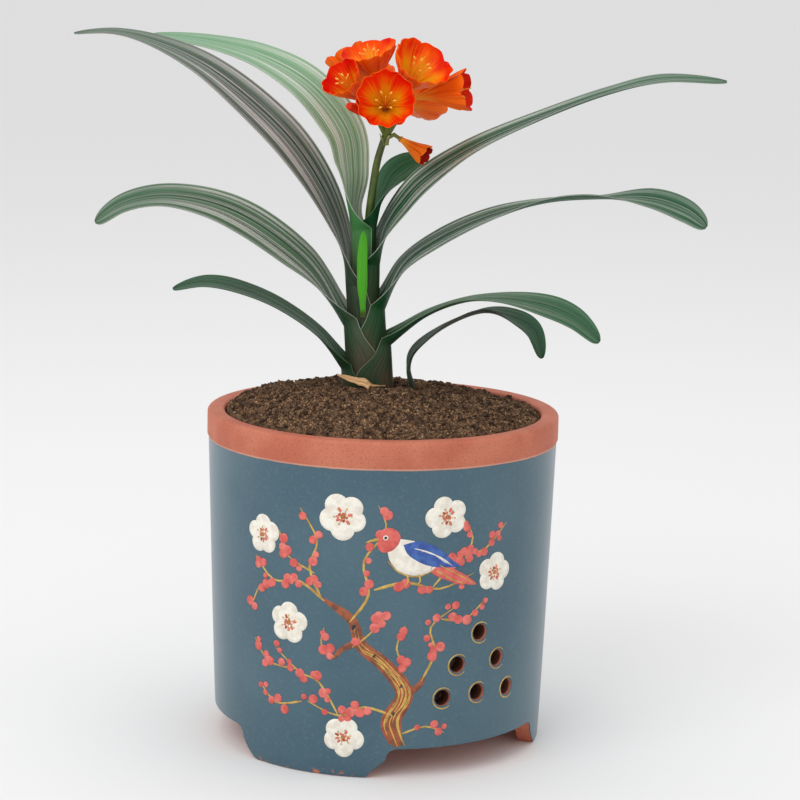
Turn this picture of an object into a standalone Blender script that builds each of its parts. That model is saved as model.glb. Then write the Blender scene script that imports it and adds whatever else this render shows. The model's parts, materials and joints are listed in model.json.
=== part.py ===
"""A flowering clivia in its footed, glazed clay pot, built at real size.

The pot's axis is the Z axis and its feet stand on Z = 0. The front of the plant faces -Y.
Every length below is in millimetres, and is turned into metres when a mesh is made.
"""
import math
import random

import bpy
import bmesh
from mathutils import Matrix, Vector

MM = 0.001
SEED = 41
TOUCH_GAP = 0.35

# Pot
POT_HEIGHT = 264.0
RIM_RADIUS = 140.0
RIM_BAND = 20.0
RIM_STEP = 1.0
RIM_ROUND = 2.6
MOUTH_RADIUS = 126.0
FOOT_RADIUS = 131.0
SKIRT_INNER = 118.5
FLOOR_UNDERSIDE = 26.0
FLOOR_TOP = 38.0
FLOOR_RADIUS = 117.0
POT_SEGMENTS = 48
DRAIN_RADIUS = 11.0

# Arches between the three feet: centre angle from the front, towards +X
ARCH_CENTRES = (35.8, 155.4, -85.0)
ARCH_HALF = 39.2
ARCH_LEAN = 6.5
ARCH_HEIGHT = 23.5
ARCH_CORNER = 9.0

# Vent holes through the wall, as (angle from the cluster's centre, height)
VENT_CLUSTERS = (35.3, 155.4)
VENTS = ((0.0, 111.5), (-8.2, 88.0), (8.0, 88.0), (-13.2, 62.5), (0.0, 63.5), (13.6, 62.0))
VENT_RADIUS = 6.2
VENT_SIDES = 10

# Soil
SOIL_RINGS = 8
SOIL_SPOKES = 32
SOIL_EDGE_HEIGHT = 258.5
SOIL_CROWN = 26.0
SOIL_LUMP = 1.6
WELL_FLOOR = 238.0
STEM_SEAT = 262.0

# Nest of leaf bases: an ellipse that grows by one step for each leaf from the inside out
STEM_X = -10.0
STEM_LEAN = -0.075
STEM_LEAN_TOP = 362.0
NEST_X = 8.8
NEST_Y = 5.8
NEST_STEP_X = 1.7
NEST_STEP_Y = 1.42
NEST_LEAVES = 8
CLASP_DEGREES = 122.0
LEAF_COLUMNS = 10
SHEATH_THICK = 0.75
BLADE_THICK = 1.3
BLADE_EDGE = 0.8
BLADE_CHANNEL = 62.0

# Bloom
TEPALS = 6
BLOOM_SPOKES = 24
BLOOM_RINGS = 3
PETAL_WALL = 0.9
TEPAL_NOTCH = 0.78
OVARY_RADIUS = 2.7
OVARY_LENGTH = 7.0
PEDICEL_RADIUS = 1.5


def srgb(red, green, blue):
    """Turn an 8-bit colour as it is seen into the linear one that a shader takes."""
    linear = []
    for channel in (red, green, blue):
        c = channel / 255.0
        linear.append(c / 12.92 if c <= 0.04045 else ((c + 0.055) / 1.055) ** 2.4)
    return (*linear, 1.0)


def make_material(name, colour, roughness):
    """A plain Principled material with one colour and one roughness."""
    material = bpy.data.materials.new(name)
    material.use_nodes = True
    shader = material.node_tree.nodes["Principled BSDF"]
    shader.inputs["Base Color"].default_value = srgb(*colour)
    shader.inputs["Roughness"].default_value = roughness
    return material


def make_object(name, points, faces, material=None, smooth=40.0):
    """Make a mesh object from points in millimetres and give it its material."""
    mesh = bpy.data.meshes.new(name)
    mesh.from_pydata([Vector(p) * MM for p in points], [], faces)
    mesh.validate()
    if material:
        mesh.materials.append(material)
    mesh.shade_smooth()
    mesh.set_sharp_from_angle(angle=math.radians(smooth))
    obj = bpy.data.objects.new(name, mesh)
    bpy.context.collection.objects.link(obj)
    return obj


def turn_profile(profile, segments, hollow=False):
    """Turn a (radius, height) profile about Z; a radius of 0 becomes one pole point.

    A hollow profile is a loop off the axis, and its last point joins its first.
    """
    points = []
    rows = []
    for radius, height in profile:
        if radius < 1e-6:
            rows.append([len(points)] * segments)
            points.append((0.0, 0.0, height))
            continue
        rows.append([len(points) + k for k in range(segments)])
        for k in range(segments):
            angle = 2.0 * math.pi * k / segments
            points.append((radius * math.cos(angle), radius * math.sin(angle), height))
    if hollow:
        rows.append(rows[0])
    faces = []
    for low, high in zip(rows, rows[1:]):
        for k in range(segments):
            corners = [low[k], low[(k + 1) % segments], high[(k + 1) % segments], high[k]]
            ring = list(dict.fromkeys(corners))
            if len(ring) > 2:
                faces.append(ring)
    return points, faces


def apply_boolean(obj, tool, operation, solver="EXACT"):
    """Apply one Boolean of obj with a tool object or a collection, then leave the mesh plain."""
    modifier = obj.modifiers.new("cut", "BOOLEAN")
    modifier.operation = operation
    modifier.solver = solver
    if isinstance(tool, bpy.types.Collection):
        modifier.operand_type = "COLLECTION"
        modifier.collection = tool
    else:
        modifier.object = tool
    graph = bpy.context.evaluated_depsgraph_get()
    mesh = bpy.data.meshes.new_from_object(obj.evaluated_get(graph))
    obj.modifiers.remove(modifier)
    old = obj.data
    obj.data = mesh
    bpy.data.meshes.remove(old)


def gather(name, objects):
    """Move helper objects into a collection of their own."""
    group = bpy.data.collections.new(name)
    bpy.context.scene.collection.children.link(group)
    for obj in objects:
        for holder in list(obj.users_collection):
            holder.objects.unlink(obj)
        group.objects.link(obj)
    return group


def drop_collection(group):
    """Remove a collection with every object in it."""
    for obj in list(group.objects):
        bpy.data.objects.remove(obj, do_unlink=True)
    bpy.data.collections.remove(group)


def shade(obj, material, smooth=40.0):
    """Give a finished mesh its one material and its shading."""
    obj.data.materials.clear()
    obj.data.materials.append(material)
    obj.data.shade_smooth()
    obj.data.set_sharp_from_angle(angle=math.radians(smooth))


def around(angle, radius, height):
    """A point at an angle in degrees from the front, counted towards +X."""
    turn = math.radians(angle)
    return Vector((radius * math.sin(turn), -radius * math.cos(turn), height))


# Pot

def pot_radius(height):
    """Outer radius of the glazed wall at a height."""
    share = max(0.0, min(1.0, height / (POT_HEIGHT - RIM_BAND)))
    return FOOT_RADIUS + (RIM_RADIUS - RIM_STEP - FOOT_RADIUS) * share ** 0.85


def mouth_radius(height):
    """Inner radius of the wall at a height above the floor."""
    share = max(0.0, min(1.0, (height - FLOOR_TOP) / (POT_HEIGHT - FLOOR_TOP)))
    return FLOOR_RADIUS + (MOUTH_RADIUS - FLOOR_RADIUS) * share ** 0.7


def pot_profile():
    """The bowl's half section, from the centre of the underside, out, up and down the inside."""
    band_low = POT_HEIGHT - RIM_BAND
    outer = [(0.0, FLOOR_UNDERSIDE)]
    outer += [(pot_radius(h), h) for h in (FLOOR_UNDERSIDE, 90.0, 170.0, band_low - 1.5)]
    outer += [(RIM_RADIUS, band_low)]
    for k in range(4):
        turn = math.radians(30.0 * k)
        outer.append((RIM_RADIUS - RIM_ROUND * (1.0 - math.cos(turn)),
                      POT_HEIGHT - RIM_ROUND * (1.0 - math.sin(turn))))
    inner = [(MOUTH_RADIUS + RIM_ROUND, POT_HEIGHT), (MOUTH_RADIUS, POT_HEIGHT - RIM_ROUND)]
    inner += [(mouth_radius(h), h) for h in (180.0, 100.0, FLOOR_TOP + 5.0)]
    inner += [(FLOOR_RADIUS - 6.0, FLOOR_TOP), (0.0, FLOOR_TOP)]
    return outer + inner


def foot_ring_profile():
    """The foot ring's section, a loop from its inner top corner down, out and up."""
    top = FLOOR_UNDERSIDE - TOUCH_GAP
    return [(SKIRT_INNER, top), (SKIRT_INNER, 0.0), (pot_radius(0.0), 0.0), (pot_radius(top), top)]


def arch_outline():
    """Half angles and heights round one arch opening, with its slanted sides and round corners."""
    outline = [(ARCH_HALF, -4.0), (ARCH_HALF, 0.0)]
    top_half = ARCH_HALF - ARCH_LEAN
    for k in range(5):
        turn = math.radians(22.5 * k)
        rise = ARCH_CORNER * math.sin(turn)
        inset = math.degrees(ARCH_CORNER * (1.0 - math.cos(turn)) / FOOT_RADIUS)
        outline.append((top_half - inset, ARCH_HEIGHT - ARCH_CORNER + rise))
    return outline


def make_arch_cutter(centre):
    """A wedge through the skirt that leaves one arch between two feet."""
    right = arch_outline()
    last = right[-1]
    top = [(last[0] * (1.0 - k / 4.0), last[1]) for k in range(1, 8)]
    left = [(-a, h) for a, h in reversed(right)]
    low = [(-ARCH_HALF * (1.0 - k / 4.0), -4.0) for k in range(1, 8)]
    outline = right + top + left + low
    count = len(outline)
    points = [around(centre + a, radius, h) for radius in (100.0, 160.0) for a, h in outline]
    faces = [list(range(count)), list(range(2 * count - 1, count - 1, -1))]
    faces += [[k, k + count, (k + 1) % count + count, (k + 1) % count] for k in range(count)]
    obj = make_object("arch_cutter", points, faces)
    fix_normals(obj)
    return obj


def fix_normals(obj):
    """Turn every face of a closed mesh to point outwards."""
    work = bmesh.new()
    work.from_mesh(obj.data)
    bmesh.ops.recalc_face_normals(work, faces=work.faces)
    work.to_mesh(obj.data)
    work.free()


def make_vent_cutter(angle, height):
    """A cylinder that points from the pot's axis through the wall."""
    work = bmesh.new()
    bmesh.ops.create_cone(work, cap_ends=True, segments=VENT_SIDES, radius1=VENT_RADIUS * MM,
                          radius2=VENT_RADIUS * MM, depth=50.0 * MM)
    axis = around(angle, 1.0, 0.0)
    turn = axis.to_track_quat("Z", "Y").to_matrix().to_4x4()
    work.transform(Matrix.Translation(around(angle, 128.0, height) * MM) @ turn)
    mesh = bpy.data.meshes.new("vent_cutter")
    work.to_mesh(mesh)
    work.free()
    obj = bpy.data.objects.new("vent_cutter", mesh)
    bpy.context.collection.objects.link(obj)
    return obj


def make_pot():
    """The pot's bowl: wall, rim, floor, vents and a drainage hole."""
    clay = make_material("pot_clay", (96, 120, 128), 0.28)
    points, faces = turn_profile(pot_profile(), POT_SEGMENTS)
    pot = make_object("pot", points, faces)
    fix_normals(pot)
    cutters = []
    for cluster in VENT_CLUSTERS:
        cutters += [make_vent_cutter(cluster + a, h) for a, h in VENTS]
    drain_points, drain_faces = turn_profile(
        [(0.0, FLOOR_UNDERSIDE - 5.0), (DRAIN_RADIUS, FLOOR_UNDERSIDE - 5.0),
         (DRAIN_RADIUS, FLOOR_TOP + 5.0), (0.0, FLOOR_TOP + 5.0)], 16)
    drain = make_object("drain_cutter", drain_points, drain_faces)
    fix_normals(drain)
    group = gather("pot_cutters", cutters + [drain])
    apply_boolean(pot, group, "DIFFERENCE")
    drop_collection(group)
    shade(pot, clay, 35.0)
    make_foot_ring(clay)


def make_foot_ring(clay):
    """The ring under the bowl that three arches cut into feet.

    It is fired in one with the bowl, and is a node of its own so that collision leaves the space
    under the floor open.
    """
    points, faces = turn_profile(foot_ring_profile(), POT_SEGMENTS, hollow=True)
    ring = make_object("foot_ring", points, faces)
    fix_normals(ring)
    group = gather("arch_cutters", [make_arch_cutter(centre) for centre in ARCH_CENTRES])
    apply_boolean(ring, group, "DIFFERENCE")
    drop_collection(group)
    shade(ring, clay, 35.0)


# Soil

def soil_height(x, y):
    """Height of the soil's surface: a dome that is lower at the right and at the back."""
    radius = math.hypot(x, y) / MOUTH_RADIUS
    crown = SOIL_CROWN * (1.0 - min(radius, 1.0) ** 5)
    slope = 1.0 - 0.38 * max(0.0, min(1.0, (x - 8.0) / 90.0))
    slope *= 1.0 - 0.3 * max(0.0, min(1.0, (y + 5.0) / 60.0))
    waves = math.sin(0.061 * x + 1.3) * math.cos(0.052 * y - 0.4)
    return SOIL_EDGE_HEIGHT + crown * slope + SOIL_LUMP * waves * (1.0 - radius ** 4)


def make_soil():
    """Potting soil that fills the pot, with a domed crumbly top and wells for the plant."""
    soil_brown = make_material("soil_mix", (70, 55, 45), 0.95)
    draw = random.Random(SEED)
    points = [(0.0, 0.0, soil_height(0.0, 0.0))]
    rows = [[0] * SOIL_SPOKES]
    for ring in range(1, SOIL_RINGS + 1):
        share = ring / SOIL_RINGS
        rows.append([len(points) + k for k in range(SOIL_SPOKES)])
        for k in range(SOIL_SPOKES):
            angle = 2.0 * math.pi * (k + 0.5 * (ring % 2)) / SOIL_SPOKES
            radius = (MOUTH_RADIUS - 1.2) * share ** 0.9
            x = radius * math.cos(angle)
            y = radius * math.sin(angle)
            lump = draw.uniform(-1.0, 1.0) if ring < SOIL_RINGS else 0.0
            points.append((x, y, soil_height(x, y) + lump))
    sides = [(mouth_radius(h) - TOUCH_GAP - 0.3, h) for h in (180.0, 100.0, FLOOR_TOP + 5.0)]
    sides += [(FLOOR_RADIUS - 6.3, FLOOR_TOP + TOUCH_GAP)]
    for radius, height in sides:
        rows.append([len(points) + k for k in range(SOIL_SPOKES)])
        for k in range(SOIL_SPOKES):
            angle = 2.0 * math.pi * (k + 0.5 * (SOIL_RINGS % 2)) / SOIL_SPOKES
            points.append((radius * math.cos(angle), radius * math.sin(angle), height))
    rows.append([len(points)] * SOIL_SPOKES)
    points.append((0.0, 0.0, FLOOR_TOP + TOUCH_GAP))
    soil = make_object("soil", points, stitch(rows), None, 60.0)
    fix_normals(soil)
    wells = [elliptic_plug("well", STEM_X, 0.0, nest_size(NEST_LEAVES + 0.7), WELL_FLOOR, 330.0),
             elliptic_plug("side_well", *LOW_LEAF_SEAT, (9.6, 9.6), WELL_FLOOR + 12.0, 330.0)]
    group = gather("wells", wells)
    apply_boolean(soil, group, "DIFFERENCE")
    drop_collection(group)
    shade(soil, soil_brown, 60.0)


def stitch(rows):
    """Triangles between closed rings of equal length, split alike everywhere."""
    faces = []
    for low, high in zip(rows, rows[1:]):
        count = len(low)
        for k in range(count):
            n = (k + 1) % count
            for corners in ((low[k], high[k], high[n]), (low[k], high[n], low[n])):
                if len(set(corners)) == 3:
                    faces.append(corners)
    return faces


def elliptic_plug(name, x, y, half_sizes, low, high, material=None):
    """An upright elliptic cylinder."""
    count = 20
    points = []
    for height in (low, high):
        for k in range(count):
            angle = 2.0 * math.pi * k / count
            points.append((x + half_sizes[0] * math.cos(angle), y + half_sizes[1] * math.sin(angle),
                           height))
    faces = [list(range(count - 1, -1, -1)), list(range(count, 2 * count))]
    faces += [[k, (k + 1) % count, (k + 1) % count + count, k + count] for k in range(count)]
    return make_object(name, points, faces, material)


def make_rootstock():
    """The short thick stem in the soil that the leaf bases and the flower stalk stand on."""
    pale_root = make_material("rootstock_tissue", (190, 175, 140), 0.7)
    size_x, size_y = nest_size(NEST_LEAVES)
    elliptic_plug("rootstock", STEM_X, 0.0, (size_x - 0.6, size_y - 0.6),
                  WELL_FLOOR + TOUCH_GAP, STEM_SEAT - TOUCH_GAP, pale_root)


# Leaves

def nest_size(index):
    """Half sizes of the nest's ellipse for a leaf, counted from the inside."""
    return (NEST_X + NEST_STEP_X * index, NEST_Y + NEST_STEP_Y * index)


def stem_axis(height):
    """X of the leaf bases' common axis, which leans a little."""
    return STEM_X + STEM_LEAN * (min(height, STEM_LEAN_TOP) - STEM_SEAT)


def smooth_step(value):
    """A smooth rise from 0 to 1."""
    t = max(0.0, min(1.0, value))
    return t * t * (3.0 - 2.0 * t)


def curve_point(knots, share):
    """A point of a Catmull-Rom curve through knots, by share of its knot count."""
    place = max(0.0, min(1.0, share)) * (len(knots) - 1)
    k = min(int(place), len(knots) - 2)
    t = place - k
    before = knots[max(k - 1, 0)]
    after = knots[min(k + 2, len(knots) - 1)]
    a, b = knots[k], knots[k + 1]
    result = []
    for p0, p1, p2, p3 in zip(before, a, b, after):
        result.append(0.5 * (2.0 * p1 + (p2 - p0) * t + (2.0 * p0 - 5.0 * p1 + 4.0 * p2 - p3) * t * t
                             + (3.0 * p1 - p0 - 3.0 * p2 + p3) * t * t * t))
    return result


# One row for each leaf: its side, its place in the nest, the height where it leaves the nest,
# its width and its midrib's points after that, as (x, y, z, roll in degrees towards the viewer)
LEAVES = {
    "leaf_left_1": (-1, 7.4, 296.0, 37.0, (
        (-53, -2, 323, 4), (-84, 2, 344, 6), (-116, 8, 356, 8), (-144, 14, 360, 9),
        (-170, 18, 355, 10))),
    "leaf_right_2": (1, 6, 316.0, 36.0, (
        (32, -6, 340, -4), (63, -16, 354, -5), (93, -26, 357, 6), (124, -34, 353, 22),
        (148, -40, 344, 28), (167, -43, 328, 32))),
    "leaf_left_2": (-1, 5, 330.0, 40.0, (
        (-54, 2, 366, 20), (-76, 6, 387, 34), (-109, 12, 409, 37), (-141, 16, 422, 30),
        (-177, 20, 427, 22), (-209, 23, 421, 24), (-233, 25, 406, 34))),
    "leaf_right_3": (1, 4, 344.0, 37.0, (
        (14, -4, 378, 10), (42, -12, 401, 14), (80, -22, 421, 9), (122, -34, 435, -5),
        (163, -44, 440, -6), (201, -52, 440, 20), (228, -57, 432, 36), (244, -60, 421, 44))),
    "leaf_left_3": (-1, 3, 362.0, 40.0, (
        (-35, 0, 395, 14), (-52, 6, 435, 32), (-78, 16, 472, 42), (-111, 27, 503, 38),
        (-147, 38, 529, 26), (-184, 46, 546, 14), (-220, 52, 555, 6), (-253, 55, 554, 8))),
    "leaf_right_4": (1, 2, 380.0, 40.0, (
        (-1, -4, 405, 10), (11, -10, 426, 20), (31, -16, 449, 22), (69, -24, 476, 12),
        (119, -38, 501, 4), (167, -52, 521, 2), (208, -60, 532, 8), (254, -65, 532, 14))),
    "leaf_left_4": (-1, 1, 404.0, 40.0, (
        (-30, 6, 428, 16), (-31, 18, 454, 40), (-38, 34, 484, 52), (-66, 50, 516, 44),
        (-103, 66, 536, 28), (-146, 80, 547, 18), (-194, 88, 553, 16))),
    "leaf_right_5": (1, 0, 408.0, 32.0, (
        (-6, 7, 426, 6), (0, 16, 439, 24), (9, 24, 451, 46), (27, 32, 462, 58))),
}

# The lowest leaf at the right stands by itself beside the nest
LOW_LEAF_SEAT = (25.0, 0.0)
LOW_LEAF = (
    (26, 0, 250, 0), (24.5, 0, 280, 0), (20.5, 0, 298, 0), (27, 6, 313, 4), (50, 14, 330, -6),
    (78, 22, 340, -8), (102, 28, 335, 18), (120, 32, 324, 36), (128, 34, 302, 44))
LOW_LEAF_WIDTH = 29.0

# A narrow young leaf that shows between the others
YOUNG_LEAF = (
    (-17.3, -11.4, 339, -90), (-18.0, -13.6, 354, -90), (-18.6, -16.4, 370, -90),
    (-18.8, -18.0, 388, -90), (-18.0, -18.6, 408, -90))
YOUNG_LEAF_WIDTH = 8.0
YOUNG_LEAF_ARC = 16.0


def blade_width_share(share):
    """How wide a blade is along its length, with a blunt rounded tip."""
    return max(0.04, 1.0 - max(0.0, (share - 0.62) / 0.38) ** 2.6) ** 0.6


def leaf_frame(before, after, side, roll):
    """Directions along the midrib, across the blade and up from its upper face."""
    along = (after - before).normalized()
    across = (Vector((0.0, 1.0, 0.0)) - along * along.y).normalized()
    up = across.cross(along) * (-side)
    turn = math.radians(roll)
    rolled_up = up * math.cos(turn) - across * math.sin(turn)
    rolled_across = across * math.cos(turn) + up * math.sin(turn)
    return rolled_across, rolled_up


def leaf_stations(row, count):
    """The midrib point, roll, arc sizes and half width at each station of a nested leaf."""
    side, index, leave, width, knots = row
    size_x, size_y = nest_size(index)
    mean = 0.5 * (size_x + size_y)
    clasp = math.radians(CLASP_DEGREES) * mean
    bend = (stem_axis(leave) + side * size_x, 0.0, leave, 0.0)
    route = [bend] + [tuple(float(v) for v in knot) for knot in knots]
    stations = []
    for h in (STEM_SEAT + TOUCH_GAP, leave - 24.0, leave - 18.0, leave - 12.0, leave - 6.0):
        share = smooth_step((h - (leave - 26.0)) / 26.0)
        half = clasp + (0.52 * width - clasp) * share
        stations.append(((stem_axis(h) + side * size_x, 0.0, h), 0.0, size_x, size_y, half, 0.0))
    last = len(route) - 1
    for k in range(count):
        share = k / (count - 1)
        x, y, z, roll = curve_point(route, share)
        open_share = smooth_step(share * last / 1.5)
        arc_x = size_x + (BLADE_CHANNEL - size_x) * open_share
        arc_y = size_y + (BLADE_CHANNEL - size_y) * open_share
        half = 0.5 * width * blade_width_share(share)
        stations.append(((x, y, z), roll, arc_x, arc_y, half, share))
    return stations


def loft_leaf(name, stations, side, columns, material):
    """A closed thin solid through the stations, with both faces split alike."""
    places = [Vector(s[0]) for s in stations]
    upper, lower = [], []
    for n, (place, roll, arc_x, arc_y, half, share) in enumerate(stations):
        before = places[max(n - 1, 0)]
        after = places[min(n + 1, len(places) - 1)]
        if share == 0.0:
            before, after = Vector((0.0, 0.0, 0.0)), Vector((0.0, 0.0, 1.0))
        across, up = leaf_frame(before, after, side, roll)
        reach = min(half / (0.5 * (arc_x + arc_y)), math.radians(CLASP_DEGREES))
        for k in range(columns + 1):
            q = 2.0 * k / columns - 1.0
            angle = q * reach
            centre = (Vector(place) + across * (arc_y * math.sin(angle))
                      + up * (arc_x * (1.0 - math.cos(angle))))
            normal = (up * math.cos(angle) / arc_x - across * math.sin(angle) / arc_y).normalized()
            blade = BLADE_EDGE + (BLADE_THICK - BLADE_EDGE) * (1.0 - q * q)
            thick = SHEATH_THICK + (blade - SHEATH_THICK) * smooth_step(share * 6.0)
            upper.append(centre + normal * (0.5 * thick))
            lower.append(centre - normal * (0.5 * thick))
    return closed_sheet(name, upper, lower, len(stations), columns, material)


def closed_sheet(name, upper, lower, rows, columns, material):
    """Join two grids of points into one closed sheet, both faces split alike."""
    width = columns + 1
    size = len(upper)
    faces = []
    for r in range(rows - 1):
        for c in range(columns):
            a = r * width + c
            b, d, e = a + 1, a + width, a + width + 1
            faces += [(a, b, e), (a, e, d)]
            faces += [(a + size, e + size, b + size), (a + size, d + size, e + size)]
    rim = [c for c in range(width)]
    rim += [r * width + columns for r in range(1, rows)]
    rim += [(rows - 1) * width + c for c in range(columns - 1, -1, -1)]
    rim += [r * width for r in range(rows - 2, 0, -1)]
    for n, a in enumerate(rim):
        b = rim[(n + 1) % len(rim)]
        faces += [(a, a + size, b + size), (a, b + size, b)]
    obj = make_object(name, list(upper) + list(lower), faces, material, 50.0)
    fix_normals(obj)
    return obj


LEAF_COLOURS = {
    "leaf_left_1": (52, 98, 68), "leaf_left_2": (112, 128, 112), "leaf_left_3": (122, 122, 118),
    "leaf_left_4": (148, 178, 146), "leaf_right_2": (88, 128, 102), "leaf_right_3": (92, 132, 108),
    "leaf_right_4": (60, 112, 78), "leaf_right_5": (34, 100, 62),
}


def make_nested_leaves():
    """The eight leaves whose bases clasp each other in the nest."""
    for name, row in LEAVES.items():
        material = make_material(name + "_tissue", LEAF_COLOURS[name], 0.42)
        stations = leaf_stations(row, len(row[4]) + 5)
        loft_leaf(name, stations, row[0], LEAF_COLUMNS, material)


def make_low_leaf():
    """The lowest leaf at the right, which stands beside the nest and hangs over at its end."""
    material = make_material("leaf_right_1_tissue", (30, 62, 44), 0.4)
    knots = [tuple(float(v) for v in knot) for knot in LOW_LEAF]
    knots[0] = (*LOW_LEAF_SEAT, WELL_FLOOR + 12.0 + TOUCH_GAP, 0.0)
    stations = []
    count = 17
    for k in range(count):
        share = k / (count - 1)
        x, y, z, roll = curve_point(knots, share)
        spread = smooth_step((share - 0.12) / 0.35)
        arc = 5.0 + 40.0 * spread
        half = (7.0 + (0.5 * LOW_LEAF_WIDTH - 7.0) * spread) * blade_width_share(share)
        stations.append(((x, y, z), roll, arc, arc, half, share))
    loft_leaf("leaf_right_1", stations, 1, 8, material)


def make_young_leaf():
    """The narrow bright young leaf that lies against the front of the nest."""
    material = make_material("leaf_young_tissue", (124, 196, 62), 0.45)
    knots = [tuple(float(v) for v in knot) for knot in YOUNG_LEAF]
    stations = []
    count = 9
    for k in range(count):
        share = k / (count - 1)
        x, y, z, roll = curve_point(knots, share)
        half = 0.5 * YOUNG_LEAF_WIDTH * min(1.0, 0.55 + share) * (1.0 - 0.75 * share ** 5)
        stations.append(((x, y, z), roll, YOUNG_LEAF_ARC, YOUNG_LEAF_ARC, half, share))
    loft_leaf("leaf_young", stations, -1, 4, material)


# Flower head: the stalk's points, then each bloom as (base, mouth centre, mouth radius)
STALK = ((-7, 0, 262.4), (-9.8, 0, 300), (-13.6, 0, 351), (-14.8, 0, 391), (-14, 0, 419),
         (-11, 0, 446), (-8, 0, 464), (-2, 0, 484))
STALK_HALF = (4.3, 3.4)
BLOOMS = {
    "bloom_1": ((-9, -4, 519), (-18, -10, 551), 23.0),
    "bloom_2": ((9, -12, 514), (26, -34, 543), 24.0),
    "bloom_3": ((-3, -24, 503), (-3, -58, 514), 23.0),
    "bloom_4": ((-20, -14, 508), (-39, -34, 529), 17.0),
    "bloom_5": ((-19, 12, 514), (-37, 28, 546), 18.0),
    "bloom_6": ((20, -2, 512), (62, -10, 519), 17.0),
    "bloom_7": ((9, 9, 515), (34, 22, 544), 20.0),
    "bloom_8": ((10, -6, 479), (30, -16, 467), 9.0),
    "bloom_9": ((-4, 26, 506), (-12, 60, 522), 19.0),
    "bloom_10": ((12, 26, 502), (30, 60, 510), 21.0),
}
BUD = ((-12, -22, 499), (-31, -47, 507), 4.2)


def tube_mesh(name, knots, sizes, sides, count, material=None):
    """A closed tube along a smooth curve; sizes gives its two half widths at each share."""
    points = []
    places = [Vector(curve_point(knots, k / (count - 1))) for k in range(count)]
    for n, place in enumerate(places):
        along = (places[min(n + 1, count - 1)] - places[max(n - 1, 0)]).normalized()
        guide = Vector((1.0, 0.0, 0.0)) if abs(along.x) < 0.8 else Vector((0.0, 0.0, 1.0))
        first = (guide - along * guide.dot(along)).normalized()
        second = along.cross(first)
        half_a, half_b = sizes(n / (count - 1))
        for k in range(sides):
            angle = 2.0 * math.pi * k / sides
            points.append(place + first * (half_a * math.cos(angle)) + second * (half_b * math.sin(angle)))
    faces = [list(range(sides - 1, -1, -1)), list(range((count - 1) * sides, count * sides))]
    for n in range(count - 1):
        for k in range(sides):
            a = n * sides + k
            b = n * sides + (k + 1) % sides
            faces.append([a, b, b + sides, a + sides])
    obj = make_object(name, points, faces, material)
    fix_normals(obj)
    return obj


def ovary_size(share):
    """Half widths of a pedicel that ends in the swelling under its flower."""
    swell = OVARY_RADIUS - PEDICEL_RADIUS
    rise = math.exp(-((share - 0.9) / 0.11) ** 2)
    return (PEDICEL_RADIUS + swell * rise, PEDICEL_RADIUS + swell * rise)


def make_scape():
    """The flower stalk with its pedicels and ovaries, one green piece."""
    green = make_material("stalk_tissue", (120, 120, 40), 0.5)
    knots = [tuple(float(v) for v in knot) for knot in STALK]
    scape = tube_mesh("scape", knots, lambda s: (STALK_HALF[0] * (1.0 - 0.25 * s), STALK_HALF[1]),
                      8, 12)
    head = Vector(STALK[-1])
    parts = []
    for name, (base, mouth, _) in list(BLOOMS.items()) + [("bud", BUD)]:
        base = Vector(base)
        way = (Vector(mouth) - base).normalized()
        start = head - Vector((0.0, 0.0, 5.0))
        middle = head + (base - head) * 0.5 + Vector((0.0, 0.0, 1.0))
        tip = base - way * TOUCH_GAP
        route = [start, middle, tip - way * OVARY_LENGTH, tip - way * (0.3 * OVARY_LENGTH), tip]
        parts.append(tube_mesh("pedicel", route, ovary_size, 6, 7))
    group = gather("pedicels", parts)
    apply_boolean(scape, group, "UNION", "MANIFOLD")
    drop_collection(group)
    shade(scape, green, 50.0)


def bloom_frame(base, mouth):
    """Length and directions of a bloom, from its base to its mouth."""
    way = Vector(mouth) - Vector(base)
    length = way.length
    way.normalize()
    guide = Vector((0.0, 0.0, 1.0)) if abs(way.z) < 0.9 else Vector((0.0, 1.0, 0.0))
    first = (guide - way * guide.dot(way)).normalized()
    return length, way, first, way.cross(first)


def funnel_radius(share, mouth_radius_):
    """Radius of a bloom's funnel along its length: a narrow tube that flares out."""
    tube = 2.4 + 3.0 * share
    return tube + (mouth_radius_ - 5.4) * smooth_step((share - 0.06) / 0.94) ** 0.85


def tepal_reach(angle):
    """How far the rim reaches at an angle: long at the middle of a tepal, short between two."""
    wave = abs(math.cos(0.5 * TEPALS * angle))
    return TEPAL_NOTCH + (1.0 - TEPAL_NOTCH) * wave ** 0.6


def make_bloom(name, base, mouth, radius, material):
    """One bloom: a thin funnel whose rim is cut into six rounded tepals."""
    length, way, first, second = bloom_frame(base, mouth)
    outer, inner = [], []
    for ring in range(BLOOM_RINGS + 1):
        for k in range(BLOOM_SPOKES):
            angle = 2.0 * math.pi * k / BLOOM_SPOKES
            share = ring / BLOOM_RINGS * tepal_reach(angle)
            ray = first * math.cos(angle) + second * math.sin(angle)
            here = funnel_radius(share, radius)
            ahead = funnel_radius(share + 0.02, radius)
            slope = Vector((ahead - here, 0.02 * length)).normalized()
            edge = Vector(base) + way * (length * share) + ray * here
            outer.append(edge)
            inner.append(edge - ray * (PETAL_WALL * slope.y) + way * (PETAL_WALL * slope.x))
    points = [Vector(base)] + outer + [Vector(base) + way * 1.6] + inner
    inner_pole = 1 + len(outer)
    rows_out = [[1 + r * BLOOM_SPOKES + k for k in range(BLOOM_SPOKES)] for r in range(BLOOM_RINGS + 1)]
    rows_in = [[inner_pole + i for i in row] for row in rows_out]
    rows = [[0] * BLOOM_SPOKES] + rows_out + rows_in[::-1] + [[inner_pole] * BLOOM_SPOKES]
    faces = stitch(rows[:BLOOM_RINGS + 2])
    faces += stitch([rows_out[-1], rows_in[-1]])
    faces += [tuple(reversed([f + inner_pole for f in face])) for face in faces[:faces_in_shell()]]
    obj = make_object(name, points, faces, material, 60.0)
    fix_normals(obj)
    return obj


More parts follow.
